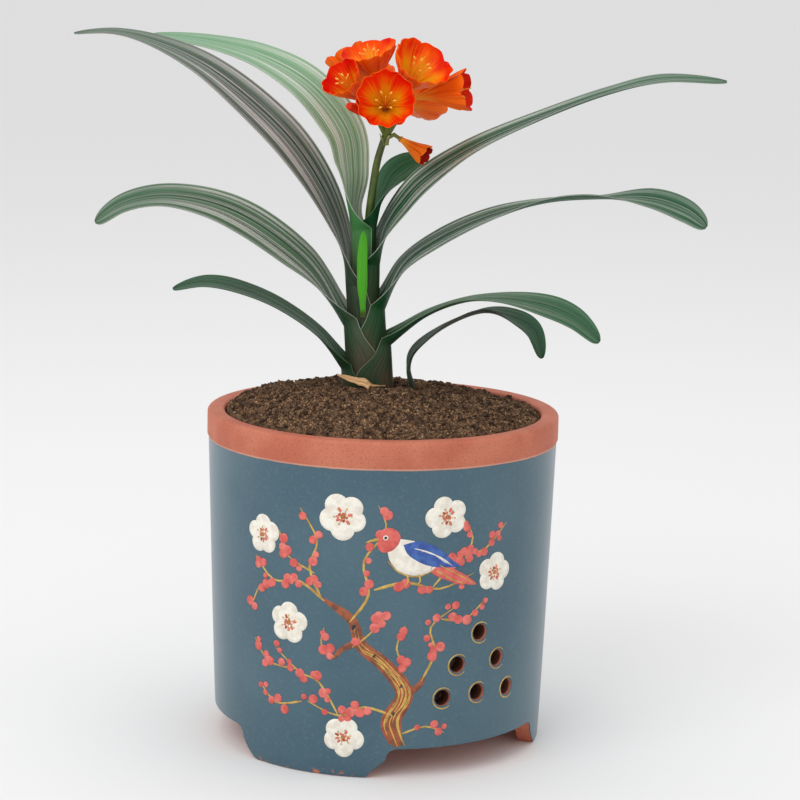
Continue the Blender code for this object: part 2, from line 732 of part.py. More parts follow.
def faces_in_shell():
    """Triangles on one side of a bloom's funnel."""
    return BLOOM_SPOKES * (2 * BLOOM_RINGS + 1)


def make_stamens(name, base, mouth, radius, material):
    """Six filaments with anthers and a longer style, fused to a small round base."""
    length, way, first, second = bloom_frame(base, mouth)
    start = Vector(base) + way * (1.6 + 2.0 * TOUCH_GAP)
    foot = tube_mesh(name, [start, start + way * 2.4], lambda s: (1.1, 1.1), 6, 2)
    parts = []
    for k in range(TEPALS):
        angle = 2.0 * math.pi * (k + 0.5) / TEPALS
        ray = first * math.cos(angle) + second * math.sin(angle)
        knots = [start + way * 0.6 + ray * 0.6, start + way * (0.32 * length) + ray * 1.6,
                 start + way * (0.62 * length) + ray * (0.16 * radius + 0.8),
                 start + way * (0.86 * length) + ray * (0.3 * radius)]
        parts.append(tube_mesh("filament", knots, anther_size, 3, 3))
    style = [start + way * 0.5, start + way * (0.5 * length), start + way * (0.98 * length) + first * 1.2]
    parts.append(tube_mesh("style", style, lambda s: (0.55, 0.55), 3, 3))
    group = gather("filaments", parts)
    apply_boolean(foot, group, "UNION", "MANIFOLD")
    drop_collection(group)
    shade(foot, material, 50.0)


def anther_size(share):
    """Half widths of a filament that ends in an anther."""
    if share > 0.7:
        return (1.0, 0.8)
    return (0.5, 0.5)


def make_flower_head():
    """Every bloom with its stamens, and one closed bud."""
    orange = make_material("petal_orange", (240, 84, 14), 0.45)
    yellow = make_material("stamen_yellow", (238, 190, 50), 0.6)
    for name, (base, mouth, radius) in BLOOMS.items():
        make_bloom(name, base, mouth, radius, orange)
        if radius > 12.0:
            make_stamens(name.replace("bloom", "stamens"), base, mouth, radius, yellow)
    red = make_material("bud_red", (176, 28, 12), 0.5)
    start, end, radius = Vector(BUD[0]), Vector(BUD[1]), BUD[2]
    way = (end - start).normalized()
    tube_mesh("bud", [start, start + (end - start) * 0.5, end],
              lambda s: (radius * (0.4 + 0.6 * math.sin(math.pi * (0.12 + 0.75 * s))),) * 2, 8, 6, red)


def make_dry_sheath():
    """A papery scrap of an old leaf base that lies on the soil against the stem."""
    tan = make_material("dry_sheath_tissue", (196, 160, 118), 0.85)
    upper, lower = [], []
    rows, columns = 8, 3
    for r in range(rows):
        share = r / (rows - 1)
        for c in range(columns + 1):
            across = c / columns - 0.5
            x = -30.0 + 42.0 * share
            y = -(21.5 + 5.0 * share) - 11.0 * across * (1.0 - 0.55 * abs(2.0 * share - 0.9))
            lift = 1.5 + 3.0 * math.sin(math.pi * share)
            z = soil_height(x, y) + lift
            upper.append(Vector((x, y, z + 0.4)))
            lower.append(Vector((x, y, z - 0.4)))
    closed_sheet("dry_sheath", upper, lower, rows, columns, tan)


def main():
    """Clear the scene and build every piece."""
    for obj in list(bpy.data.objects):
        bpy.data.objects.remove(obj, do_unlink=True)
    make_pot()
    make_soil()
    make_rootstock()
    make_nested_leaves()
    make_low_leaf()
    make_young_leaf()
    make_scape()
    make_flower_head()
    make_dry_sheath()


main()
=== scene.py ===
"""Looks of a flowering clivia in its footed, glazed clay pot.

The CAD frame gives every size and place. Each class below builds one sub-assembly of the plant or
the pot as fine meshes in millimetres, turned into metres as they are made, and dresses it.
"""

import json
import logging
import math
import random
from collections.abc import Callable
from dataclasses import dataclass, field
from enum import Enum
from functools import cache
from typing import ClassVar

import bmesh
import bpy
import numpy as np
from mathutils import Matrix, Vector, noise

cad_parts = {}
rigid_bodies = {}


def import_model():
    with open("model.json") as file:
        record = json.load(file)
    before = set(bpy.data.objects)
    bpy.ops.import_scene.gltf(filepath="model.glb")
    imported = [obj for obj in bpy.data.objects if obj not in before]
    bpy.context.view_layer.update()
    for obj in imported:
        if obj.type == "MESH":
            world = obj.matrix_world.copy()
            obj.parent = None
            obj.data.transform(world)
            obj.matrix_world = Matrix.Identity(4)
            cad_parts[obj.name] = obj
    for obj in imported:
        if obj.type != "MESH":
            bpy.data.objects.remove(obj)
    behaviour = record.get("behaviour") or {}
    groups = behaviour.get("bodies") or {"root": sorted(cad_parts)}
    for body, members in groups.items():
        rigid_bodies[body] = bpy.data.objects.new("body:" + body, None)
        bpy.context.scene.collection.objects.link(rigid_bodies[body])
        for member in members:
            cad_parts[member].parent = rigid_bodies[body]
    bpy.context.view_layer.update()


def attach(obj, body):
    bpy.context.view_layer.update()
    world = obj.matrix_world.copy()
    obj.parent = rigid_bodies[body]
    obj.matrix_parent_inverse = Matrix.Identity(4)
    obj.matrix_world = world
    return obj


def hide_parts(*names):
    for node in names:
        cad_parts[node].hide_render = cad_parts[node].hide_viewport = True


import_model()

LOG = logging.getLogger("clivia")
MM = 0.001
SEED = 41
ROOT_BODY = "root"
SMOOTH = 60.0
UP = Vector((0.0, 0.0, 1.0))
Sockets = bpy.types.bpy_prop_collection


class Face(Enum):
    """Which way a leaf or a tepal is looked at in its own pattern coordinates."""

    UPPER = 0.0
    LOWER = 4.0


@dataclass(frozen=True)
class Colour:
    """A colour as the eye sees it, in 8-bit red, green and blue."""

    red: float
    green: float
    blue: float

    def linear(self) -> tuple[float, float, float, float]:
        """Return the linear colour that a shader takes."""
        channels = []
        for channel in (self.red, self.green, self.blue):
            c = channel / 255.0
            channels.append(c / 12.92 if c <= 0.04045 else ((c + 0.055) / 1.055) ** 2.4)
        return (*channels, 1.0)


def smooth_step(value: float) -> float:
    """Return a smooth rise from 0 to 1.

    Args:
        value: A share, below 0 before the rise and above 1 after it.

    Returns:
        The eased share.
    """
    t = max(0.0, min(1.0, value))
    return t * t * (3.0 - 2.0 * t)


def curve_point(knots: list, share: float) -> list:
    """Return a point of the smooth curve through a list of knots.

    Args:
        knots: Equally long tuples of numbers.
        share: How far along the knots the point is, from 0 to 1.

    Returns:
        The point's numbers.
    """
    place = max(0.0, min(1.0, share)) * (len(knots) - 1)
    k = min(int(place), len(knots) - 2)
    t = place - k
    rows = zip(knots[max(k - 1, 0)], knots[k], knots[k + 1], knots[min(k + 2, len(knots) - 1)])
    result = []
    for p0, p1, p2, p3 in rows:
        bend = 2.0 * p0 - 5.0 * p1 + 4.0 * p2 - p3
        twist = 3.0 * p1 - p0 - 3.0 * p2 + p3
        result.append(0.5 * (2.0 * p1 + (p2 - p0) * t + bend * t * t + twist * t * t * t))
    return result


def make_piece(name: str, points: list, faces: list, material: bpy.types.Material,
               pattern: list | None = None, smooth: float = SMOOTH) -> bpy.types.Object:
    """Make a finished mesh object from points in millimetres.

    Args:
        name: The piece's name.
        points: Its points, in millimetres.
        faces: Its faces, as rows of point numbers.
        material: The finish it wears.
        pattern: A pattern coordinate for each point, kept as the UV map.
        smooth: Edges sharper than this angle in degrees stay sharp.

    Returns:
        The linked object, at the origin.
    """
    mesh = bpy.data.meshes.new(name)
    mesh.from_pydata([(p[0] * MM, p[1] * MM, p[2] * MM) for p in points], [], faces)
    mesh.materials.append(material)
    if pattern is not None:
        layer = mesh.uv_layers.new(name="pattern")
        corners = np.empty(len(mesh.loops), dtype=np.int32)
        mesh.loops.foreach_get("vertex_index", corners)
        layer.data.foreach_set("uv", np.asarray(pattern, dtype=np.float32)[corners].ravel())
    mesh.shade_smooth()
    mesh.set_sharp_from_angle(angle=math.radians(smooth))
    return link_object(name, mesh)


def link_object(name: str, data: bpy.types.ID) -> bpy.types.Object:
    """Make an object of a mesh, a light or a camera, and link it to the scene."""
    thing = bpy.data.objects.new(name, data)
    bpy.context.collection.objects.link(thing)
    return thing


def closed_piece(name: str, points: list, faces: list, material: bpy.types.Material,
                 pattern: list | None = None, smooth: float = SMOOTH) -> bpy.types.Object:
    """Make a closed mesh object as make_piece does, and turn all its faces outwards."""
    piece = make_piece(name, points, faces, material, pattern, smooth)
    work = bmesh.new()
    work.from_mesh(piece.data)
    bmesh.ops.recalc_face_normals(work, faces=work.faces)
    work.to_mesh(piece.data)
    work.free()
    return piece


def evaluated_mesh(thing: bpy.types.Object, modifier: bpy.types.Modifier) -> bpy.types.Mesh:
    """Return the plain mesh that a modifier makes of an object, and remove the modifier."""
    graph = bpy.context.evaluated_depsgraph_get()
    mesh = bpy.data.meshes.new_from_object(thing.evaluated_get(graph))
    thing.modifiers.remove(modifier)
    return mesh


def place_piece(piece: bpy.types.Object, slot: str, nodes: tuple = ()) -> None:
    """Ride a piece on the object's one body, log its slot and hide what it stands for.

    Args:
        piece: The finished piece.
        slot: The record's material slot.
        nodes: CAD nodes that the piece replaces.
    """
    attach(piece, ROOT_BODY)
    if nodes:
        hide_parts(*nodes)
    LOG.info("%s: %d faces, slot %s", piece.name, len(piece.data.polygons), slot)


def numbers(start: int, count: int) -> list:
    """Return a row of neighbouring point numbers."""
    return list(range(start, start + count))


def stitch(rows: list) -> list:
    """Return quads between neighbouring rings of point numbers.

    Args:
        rows: Rings of equal length.

    Returns:
        Faces, with triangles where a ring is one pole point.
    """
    faces = []
    for low, high in zip(rows, rows[1:]):
        for k in range(len(low)):
            n = (k + 1) % len(low)
            ring = list(dict.fromkeys([low[k], low[n], high[n], high[k]]))
            if len(ring) > 2:
                faces.append(ring)
    return faces


@dataclass
class Shape:
    """A growing mesh: its points in millimetres, its faces and each point's pattern coordinate."""

    points: list = field(default_factory=list)
    faces: list = field(default_factory=list)
    pattern: list = field(default_factory=list)

    def sheet(self, upper: list, lower: list, width: int, drawn: list, side: Face = Face.UPPER) -> None:
        """Add a thin closed sheet from two grids of points.

        Args:
            upper: The upper grid's points, row by row.
            lower: The lower grid's points.
            width: How many points a row has.
            drawn: The pattern coordinates of one grid.
            side: What the lower grid's coordinates count as.
        """
        start, size = len(self.points), len(upper)
        rows = size // width
        for r in range(rows - 1):
            for c in range(width - 1):
                a = start + r * width + c
                self.faces.append([a, a + 1, a + 1 + width, a + width])
                self.faces.append([a + size, a + width + size, a + 1 + width + size, a + 1 + size])
        rim = numbers(0, width) + [r * width + width - 1 for r in range(1, rows)]
        rim += [(rows - 1) * width + c for c in range(width - 2, -1, -1)]
        rim += [r * width for r in range(rows - 2, 0, -1)]
        for a, b in zip(rim, rim[1:] + rim[:1]):
            self.faces.append([start + a, start + a + size, start + b + size, start + b])
        self.points += upper + lower
        self.pattern += drawn + [(u + side.value, v) for u, v in drawn]

    def tube(self, knots: list, halves: Callable, sides: int, count: int, shade: float | None = None) -> None:
        """Add a closed tube along a smooth curve.

        Args:
            knots: The curve's points.
            halves: Gives the two half widths at a share of the length.
            sides: Points round the tube.
            count: Rings along it.
            shade: The pattern's first value all over the tube, or none for the share round it.
        """
        start = len(self.points)
        places = [Vector(curve_point(knots, k / (count - 1))) for k in range(count)]
        for n, place in enumerate(places):
            along = (places[min(n + 1, count - 1)] - places[max(n - 1, 0)]).normalized()
            guide = Vector((1.0, 0.0, 0.0)) if abs(along.x) < 0.8 else UP
            first = (guide - along * guide.dot(along)).normalized()
            second = along.cross(first)
            half_a, half_b = halves(n / (count - 1))
            for k in range(sides):
                turn = math.tau * k / sides
                aside = first * (half_a * math.cos(turn))
                self.points.append(place + aside + second * (half_b * math.sin(turn)))
                self.pattern.append((k / sides if shade is None else shade, n / (count - 1)))
        rows = [numbers(start + n * sides, sides) for n in range(count)]
        low = len(self.points)
        self.points += [places[0], places[-1]]
        self.pattern += [(0.5 if shade is None else shade, end) for end in (0.0, 1.0)]
        self.faces += stitch([[low] * sides] + rows + [[low + 1] * sides])

    def piece(self, name: str, material: bpy.types.Material, smooth: float = SMOOTH) -> bpy.types.Object:
        """Make the mesh's closed object."""
        return closed_piece(name, self.points, self.faces, material, self.pattern, smooth)


# Shading

class Nodes:
    """Builds a node tree, a material's or a group's, in short steps."""

    def __init__(self, tree: bpy.types.NodeTree) -> None:
        """Keep the tree that the steps add to."""
        self.tree = tree

    def add(self, kind: str, **settings) -> bpy.types.Node:
        """Add a node and set its properties.

        Args:
            kind: The node's type name.
            **settings: Properties by name.

        Returns:
            The node.
        """
        node = self.tree.nodes.new(kind)
        for key, value in settings.items():
            setattr(node, key, value)
        return node

    def put(self, socket: bpy.types.NodeSocket, value) -> None:
        """Link a socket to another one, or set its plain value."""
        if isinstance(value, bpy.types.NodeSocket):
            self.tree.links.new(value, socket)
        else:
            socket.default_value = value.linear() if isinstance(value, Colour) else value

    def step(self, kind: str, inputs: dict, **settings) -> Sockets:
        """Add a node with its properties, feed its inputs by name or number, and return its outputs."""
        node = self.add(kind, **settings)
        for key, value in inputs.items():
            self.put(node.inputs[key], value)
        return node.outputs

    def math(self, operation: str, *values) -> bpy.types.NodeSocket:
        """Add one math node and return its result."""
        return self.step("ShaderNodeMath", dict(enumerate(values)), operation=operation)[0]

    def times(self, first, second) -> bpy.types.NodeSocket:
        """Multiply two values."""
        return self.math("MULTIPLY", first, second)

    def plus(self, first, second) -> bpy.types.NodeSocket:
        """Add two values."""
        return self.math("ADD", first, second)

    def minus(self, first, second) -> bpy.types.NodeSocket:
        """Take the second value from the first."""
        return self.math("SUBTRACT", first, second)

    def rest(self, share) -> bpy.types.NodeSocket:
        """Return what a share leaves of 1."""
        return self.math("SUBTRACT", 1.0, share)

    def rise(self, value, low: float, high: float) -> bpy.types.NodeSocket:
        """Return 0 below low, 1 above high and a smooth rise between them."""
        inputs = {"Value": value, "From Min": low, "From Max": high}
        return self.step("ShaderNodeMapRange", inputs, interpolation_type="SMOOTHSTEP")["Result"]

    def mix(self, share, low, high) -> bpy.types.NodeSocket:
        """Mix two colours by a share."""
        return self.step("ShaderNodeMix", {"Factor": share, 6: low, 7: high}, data_type="RGBA")[2]

    def noise(self, vector, scale: float, detail: float = 3.0, rough: float = 0.55) -> bpy.types.NodeSocket:
        """Return smooth noise from 0 to 1 at a scale per unit of the vector."""
        inputs = {"Vector": vector, "Scale": scale, "Detail": detail, "Roughness": rough}
        return self.step("ShaderNodeTexNoise", inputs)["Fac"]

    def split(self, vector) -> tuple:
        """Return the three parts of a vector."""
        return tuple(self.step("ShaderNodeSeparateXYZ", {0: vector}))

    def join(self, x, y, z=0.0) -> bpy.types.NodeSocket:
        """Make a vector from three parts."""
        return self.step("ShaderNodeCombineXYZ", {0: x, 1: y, 2: z})[0]

    def here(self) -> bpy.types.NodeSocket:
        """Return the place on the object, in metres."""
        return self.add("ShaderNodeTexCoord").outputs["Object"]

    def pattern(self) -> bpy.types.NodeSocket:
        """Return the piece's own pattern coordinate."""
        return self.add("ShaderNodeUVMap", uv_map="pattern").outputs["UV"]

    def sheet(self) -> tuple:
        """Return a sheet's place across it, its place along it, and 1 on its lower side."""
        u, along, _ = self.split(self.pattern())
        lower = self.math("GREATER_THAN", u, 0.5 * Face.LOWER.value)
        return self.minus(u, self.times(lower, Face.LOWER.value)), along, lower

    def bump(self, height, strength: float, distance: float) -> bpy.types.NodeSocket:
        """Return a normal that a height bends."""
        inputs = {"Strength": strength, "Distance": distance, "Height": height}
        return self.step("ShaderNodeBump", inputs)["Normal"]

    def wear(self, node: bpy.types.Node, **values) -> None:
        """Set or link a node's inputs by name, with spaces for underscores."""
        for key, value in values.items():
            self.put(node.inputs[key.replace("_", " ")], value)

    def mottle(self, place, base, cloud, grain, scales: tuple, amount: float) -> Sockets:
        """Return the colour and the height of a mottled ground.

        Args:
            place: The place on the object.
            base: The ground colour.
            cloud: The colour of its soft clouds.
            grain: The colour of its fine grain.
            scales: The scales of the clouds and the grain.
            amount: How strong the grain is.

        Returns:
            The group's outputs, by name.
        """
        inputs = {"Place": place, "Base": base, "Cloud": cloud, "Grain": grain,
                  "Cloud Scale": scales[0], "Grain Scale": scales[1], "Grain Amount": amount}
        return self.step("ShaderNodeGroup", inputs, node_tree=EFFECTS.mottle)

    def ribs(self, across, along, veins: float) -> Sockets:
        """Return the broad and fine veins of a sheet, and their height; on the leaves the broad ones are
        streaks of painted sheen.
        """
        inputs = {"Across": across, "Along": along, "Veins": veins}
        return self.step("ShaderNodeGroup", inputs, node_tree=EFFECTS.ribs)


Finish = tuple[bpy.types.Material, Nodes, bpy.types.Node]


def new_material(name: str, roughness: float, specular: float | None = None) -> Finish:
    """Start a material.

    Args:
        name: Its name.
        roughness: The shader's own roughness until one is linked.
        specular: The shader's own specular level, or none for the usual one.

    Returns:
        The material, a builder for its tree and its Principled shader.
    """
    material = bpy.data.materials.new(name)
    material.use_nodes = True
    shader = material.node_tree.nodes["Principled BSDF"]
    shader.inputs["Roughness"].default_value = roughness
    if specular is not None:
        shader.inputs["Specular IOR Level"].default_value = specular
    return material, Nodes(material.node_tree), shader


def add_sockets(tree: bpy.types.NodeTree, way: str, sockets: dict) -> None:
    """Add named sockets to a node group, all of them inputs or all of them outputs."""
    for key, kind in sockets.items():
        tree.interface.new_socket(name=key, in_out=way, socket_type=kind)


def new_group(name: str, inputs: dict, outputs: dict) -> tuple[bpy.types.NodeTree, Nodes, Sockets, Sockets]:
    """Start a shader group with named sockets.

    Args:
        name: The group's name.
        inputs: Socket types by input name.
        outputs: Socket types by output name.

    Returns:
        The tree, its builder, its input sockets and its output sockets.
    """
    tree = bpy.data.node_groups.new(name, "ShaderNodeTree")
    add_sockets(tree, "INPUT", inputs)
    add_sockets(tree, "OUTPUT", outputs)
    nodes = Nodes(tree)
    given = nodes.step("NodeGroupInput", {})
    return tree, nodes, given, nodes.add("NodeGroupOutput").inputs


FLOAT = "NodeSocketFloat"
VECTOR = "NodeSocketVector"
COLOUR = "NodeSocketColor"
WHOLE = "NodeSocketInt"
GEOMETRY = "NodeSocketGeometry"


class SharedEffects:
    """The shader groups that more than one finish uses."""

    def __init__(self) -> None:
        """Build each group once."""
        self.mottle = self.build_mottle()
        self.ribs = self.build_ribs()

    def build_mottle(self) -> bpy.types.NodeTree:
        """Build a group that varies a colour in soft clouds and fine grain, with a height."""
        tree, n, given, result = new_group(
            "mottle", {"Place": VECTOR, "Base": COLOUR, "Cloud": COLOUR, "Grain": COLOUR,
                       "Cloud Scale": FLOAT, "Grain Scale": FLOAT, "Grain Amount": FLOAT},
            {"Colour": COLOUR, "Height": FLOAT})
        cloud = n.noise(given["Place"], given["Cloud Scale"], 4.0, 0.5)
        grain = n.noise(given["Place"], given["Grain Scale"], 5.0, 0.5)
        clouded = n.mix(n.rise(cloud, 0.36, 0.66), given["Base"], given["Cloud"])
        speck = n.times(n.rise(grain, 0.5, 0.72), given["Grain Amount"])
        n.put(result["Colour"], n.mix(speck, clouded, given["Grain"]))
        n.put(result["Height"], n.plus(n.times(cloud, 0.5), n.times(grain, 0.5)))
        return tree

    def build_ribs(self) -> bpy.types.NodeTree:
        """Build a group that draws lengthwise veins from a pattern coordinate; the leaves use its broad
        streaks for painted sheen.
        """
        tree, n, given, result = new_group(
            "ribs", {"Across": FLOAT, "Along": FLOAT, "Veins": FLOAT},
            {"Broad": FLOAT, "Fine": FLOAT, "Height": FLOAT})
        lane = n.times(given["Across"], given["Veins"])
        slow = n.times(given["Along"], 0.22)
        broad = n.noise(n.join(n.times(lane, 0.5), slow), 1.0, 2.0)
        fine = n.noise(n.join(n.times(lane, 2.4), slow, 3.0), 1.0, 3.0, 0.7)
        pleat = n.math("ABSOLUTE", n.math("SINE", n.times(lane, math.pi)))
        n.put(result["Broad"], n.rise(broad, 0.43, 0.58))
        n.put(result["Fine"], n.rise(fine, 0.5, 0.57))
        n.put(result["Height"], n.plus(n.times(pleat, 0.6), n.times(fine, 0.5)))
        return tree


EFFECTS = SharedEffects()


# Pot

@dataclass(frozen=True)
class FootedPot:
    """The clay pot: one piece with a rim band, a glazed wall, a floor, three feet and vents."""

    height: float = 264.0
    rim_radius: float = 140.0
    band: float = 20.0
    step: float = 1.0
    lip: float = 2.6
    mouth: float = 126.0
    foot: float = 131.0
    skirt: float = 118.5
    floor_low: float = 26.0
    floor_top: float = 38.0
    floor_radius: float = 117.0
    arch_centres: tuple = (35.8, 155.4, -85.0)
    arch_half: float = 39.2
    arch_lean: float = 6.5
    arch_height: float = 23.5
    arch_corner: float = 9.0
    vent_clusters: tuple = (35.3, 155.4)
    vents: tuple = ((0.0, 111.5), (-8.2, 88.0), (8.0, 88.0), (-13.2, 62.5), (0.0, 63.5), (13.6, 62.0))
    vent_radius: float = 6.2
    segments: int = 192
    smooth: float = 35.0
    wall_curve: float = 0.85
    cutter_reach: tuple = (100.0, 160.0)
    cutter_low: float = -4.0
    vent_sides: int = 28
    wander: float = 1.2
    glaze_stop: tuple = (1.8, 1.2)
    chipped_foot: tuple = (1.5, 6.5)
    pale_line: tuple = (-2.4, -1.6, -0.8, 0.4)
    # Heights where the painted shade in the vent bores fades in and out.
    vent_shade_reach: tuple = (40.0, 50.0, 130.0, 140.0)

    def wall(self, height: float) -> float:
        """Return the outer radius of the glazed wall at a height."""
        share = max(0.0, min(1.0, height / (self.height - self.band)))
        return self.foot + (self.rim_radius - self.step - self.foot) * share ** self.wall_curve

    def inside(self, height: float) -> float:
        """Return the inner radius of the wall at a height above the floor."""
        share = max(0.0, min(1.0, (height - self.floor_top) / (self.height - self.floor_top)))
        return self.floor_radius + (self.mouth - self.floor_radius) * share ** 0.7

    def around(self, angle: float, radius: float, height: float) -> Vector:
        """Return a point at an angle in degrees from the front, counted towards +X."""
        turn = math.radians(angle)
        return Vector((radius * math.sin(turn), -radius * math.cos(turn), height))

    def ring(self, radius: float, height: float, count: int) -> list:
        """Return points all the way round the axis, from the front towards +X."""
        return [self.around(360.0 * k / count, radius, height) for k in range(count)]

    def profile(self) -> list:
        """Return the half section, from the underside's centre, out, up and down the inside."""
        band_low = self.height - self.band
        outer = [(0.0, self.floor_low), (self.skirt - 1.5, self.floor_low)]
        outer += [(self.skirt, self.floor_low - 1.5)]
        outer += [(self.skirt, 1.0), (self.skirt + 1.0, 0.0), (self.foot - 1.6, 0.0), (self.foot - 0.4, 0.5)]
        outer += [(self.wall(h), h) for h in (1.7, 12.0, 30.0, 60.0, 90.0, 130.0, 170.0, 210.0)]
        outer += [(self.wall(band_low - 1.8), band_low - 1.8), (self.rim_radius - 0.7, band_low - 0.6)]
        outer += [(self.rim_radius, band_low + 0.6)]
        for k in range(7):
            turn = math.radians(15.0 * k)
            outer.append((self.rim_radius - self.lip * (1.0 - math.cos(turn)),
                          self.height - self.lip * (1.0 - math.sin(turn))))
        inner = [(self.mouth + self.lip * (1.0 - math.cos(math.radians(a))),
                  self.height - self.lip * (1.0 - math.sin(math.radians(a)))) for a in (90, 70, 50, 30, 10)]
        inner += [(self.inside(h), h) for h in (250.0, 220.0, 180.0, 100.0, self.floor_top + 5.0)]
        inner += [(self.floor_radius - 6.0, self.floor_top), (0.0, self.floor_top)]
        return outer + inner

    def turned(self, name: str, profile: list, segments: int) -> bpy.types.Object:
        """Turn a closed profile about the pot's axis.

        Args:
            name: The object's name.
            profile: Pairs of radius and height that start and end on the axis.
            segments: Points round the turn.

        Returns:
            A closed object with its faces outwards.
        """
        points, rows = [], []
        for radius, height in profile:
            if radius == 0.0:
                rows.append([len(points)] * segments)
                points.append((0.0, 0.0, height))
                continue
            rows.append(numbers(len(points), segments))
            points += self.ring(radius, height, segments)
        return closed_piece(name, points, stitch(rows), self.finish(), None, self.smooth)

    def arch_cutter(self, centre: float) -> bpy.types.Object:
        """Make the wedge that opens one arch between two feet."""
        right = [(self.arch_half, self.cutter_low), (self.arch_half, 0.0)]
        top_half = self.arch_half - self.arch_lean
        for k in range(9):
            turn = math.radians(11.25 * k)
            inset = math.degrees(self.arch_corner * (1.0 - math.cos(turn)) / self.foot)
            right.append((top_half - inset, self.arch_height - self.arch_corner * (1.0 - math.sin(turn))))
        last = right[-1]
        top = [(last[0] * (1.0 - k / 8.0), last[1]) for k in range(1, 16)]
        low = [(-self.arch_half * (1.0 - k / 8.0), self.cutter_low) for k in range(1, 16)]
        outline = right + top + [(-a, h) for a, h in reversed(right)] + low
        count = len(outline)
        points = [self.around(centre + a, r, h) for r in self.cutter_reach for a, h in outline]
        faces = [numbers(0, count), numbers(count, count)[::-1]]
        faces += [[k, k + count, (k + 1) % count + count, (k + 1) % count] for k in range(count)]
        return closed_piece("arch_cutter", points, faces, self.finish())

    def vent_cutter(self, angle: float, height: float) -> bpy.types.Object:
        """Make the round bar that cuts one vent, flared at the wall's outside."""
        points, rows = [], []
        middle = self.around(angle, 1.0, 0.0)
        side = Vector((middle.y, -middle.x, 0.0))
        skin = self.wall(height)
        flares = ((self.cutter_reach[0], 1.0), (skin - 1.6, 1.0), (skin - 0.5, 1.08),
                  (skin + 0.6, 1.3), (skin + 9.0, 1.3))
        for radius, flare in flares:
            rows.append(numbers(len(points), self.vent_sides))
            for k in range(self.vent_sides):
                turn = math.tau * k / self.vent_sides
                size = self.vent_radius * flare
                points.append(middle * radius + side * (size * math.cos(turn))
                              + Vector((0.0, 0.0, height + size * math.sin(turn))))
        return closed_piece("vent_cutter", points, stitch(rows) + [rows[0], rows[-1]], self.finish())

    @cache
    def finish(self) -> bpy.types.Material:
        """Return the pot's finish: glaze on the wall's outside and bare terracotta elsewhere, with painted
        shade deep in the vent bores.
        """
        material, n, shader = new_material("glazed_terracotta", 0.4, 0.3)
        place = n.here()
        x, y, z = n.split(place)
        radius = n.math("SQRT", n.plus(n.times(x, x), n.times(y, y)))
        band_low = (self.height - self.band) * MM
        share = n.math("POWER", n.math("MAXIMUM", n.math("DIVIDE", z, band_low), 0.0), self.wall_curve)
        reach = (self.rim_radius - self.step - self.foot) * MM
        wall = n.plus(n.times(share, reach), self.foot * MM)
        wander = n.times(n.minus(n.noise(place, 60.0, 3.0), 0.5), self.wander * MM)
        depth = n.plus(n.minus(radius, wall), wander)
        skin = n.rise(depth, -0.0011, -0.0006)
        edge = n.rise(n.plus(z, wander), *(band_low - drop * MM for drop in self.glaze_stop))
        below = n.rest(edge)
        chips = n.rise(n.noise(place, 95.0, 4.0, 0.7), 0.52, 0.6)
        low = n.rest(n.rise(z, *(h * MM for h in self.chipped_foot)))
        kept = n.rest(n.times(low, chips))
        glaze = n.times(n.times(skin, below), kept)
        enamel = n.mottle(place, Colour(62, 92, 106), Colour(71, 100, 113), Colour(108, 126, 134),
                          (11.0, 420.0), 0.22)
        clay = n.mottle(place, Colour(186, 102, 78), Colour(198, 118, 92), Colour(140, 78, 58),
                        (26.0, 700.0), 0.5)
        starts, starts_full, fades, ends = (band_low + h * MM for h in self.pale_line)
        line = n.times(n.rise(z, starts, starts_full), n.rest(n.rise(z, fades, ends)))
        bare = n.mix(n.times(line, 0.3), clay["Colour"], Colour(226, 202, 182))
        # Painted shade: the clay deep inside the vent bores is darkened to near black-brown, as if in shadow.
        vent_bore_shade = n.rest(n.rise(depth, -0.004, -0.0012))
        low_end, low_full, high_full, high_end = (h * MM for h in self.vent_shade_reach)
        for share in (n.rest(n.rise(z, high_full, high_end)), n.rise(z, low_end, low_full)):
            vent_bore_shade = n.times(vent_bore_shade, share)
        bare = n.mix(n.times(vent_bore_shade, 0.9), bare, Colour(52, 34, 26))
        sheen = n.plus(0.26, n.times(enamel["Height"], 0.16))
        dull = n.plus(0.5, n.times(clay["Height"], 0.3))
        matt = n.times(n.rest(glaze), dull)
        height = n.plus(n.times(clay["Height"], 0.3), n.times(glaze, 0.8))
        n.wear(shader, Base_Color=n.mix(glaze, bare, enamel["Colour"]),
               Roughness=n.plus(n.times(glaze, sheen), matt),
               Coat_Weight=n.times(glaze, 0.25), Coat_Roughness=0.12,
               Normal=n.bump(height, 0.5, 0.0004))
        return material

    def build(self) -> None:
        """Build the pot in fine mesh and put it in place of its CAD solid."""
        pot = self.turned("glazed_pot", self.profile(), self.segments)
        group = bpy.data.collections.new("pot_cutters")
        bpy.context.scene.collection.children.link(group)
        cutters = [self.arch_cutter(centre) for centre in self.arch_centres]
        cutters += [self.vent_cutter(c + a, h) for c in self.vent_clusters for a, h in self.vents]
        drain = [(0.0, 15.0), (11.0, 15.0), (11.0, 45.0), (0.0, 45.0)]
        cutters.append(self.turned("drain_cutter", drain, 48))
        for cutter in cutters:
            bpy.context.collection.objects.unlink(cutter)
            group.objects.link(cutter)
        cut = pot.modifiers.new("openings", "BOOLEAN")
        cut.operation = "DIFFERENCE"
        cut.solver = "MANIFOLD"
        cut.operand_type = "COLLECTION"
        cut.collection = group
        mesh = evaluated_mesh(pot, cut)
        pot.data = mesh
        mesh.materials.clear()
        mesh.materials.append(self.finish())
        mesh.shade_smooth()
        mesh.set_sharp_from_angle(angle=math.radians(self.smooth))
        for cutter in list(group.objects):
            bpy.data.objects.remove(cutter, do_unlink=True)
        bpy.data.collections.remove(group)
        place_piece(pot, "glazed_clay", ("pot", "foot_ring"))


POT = FootedPot()


# Ornament

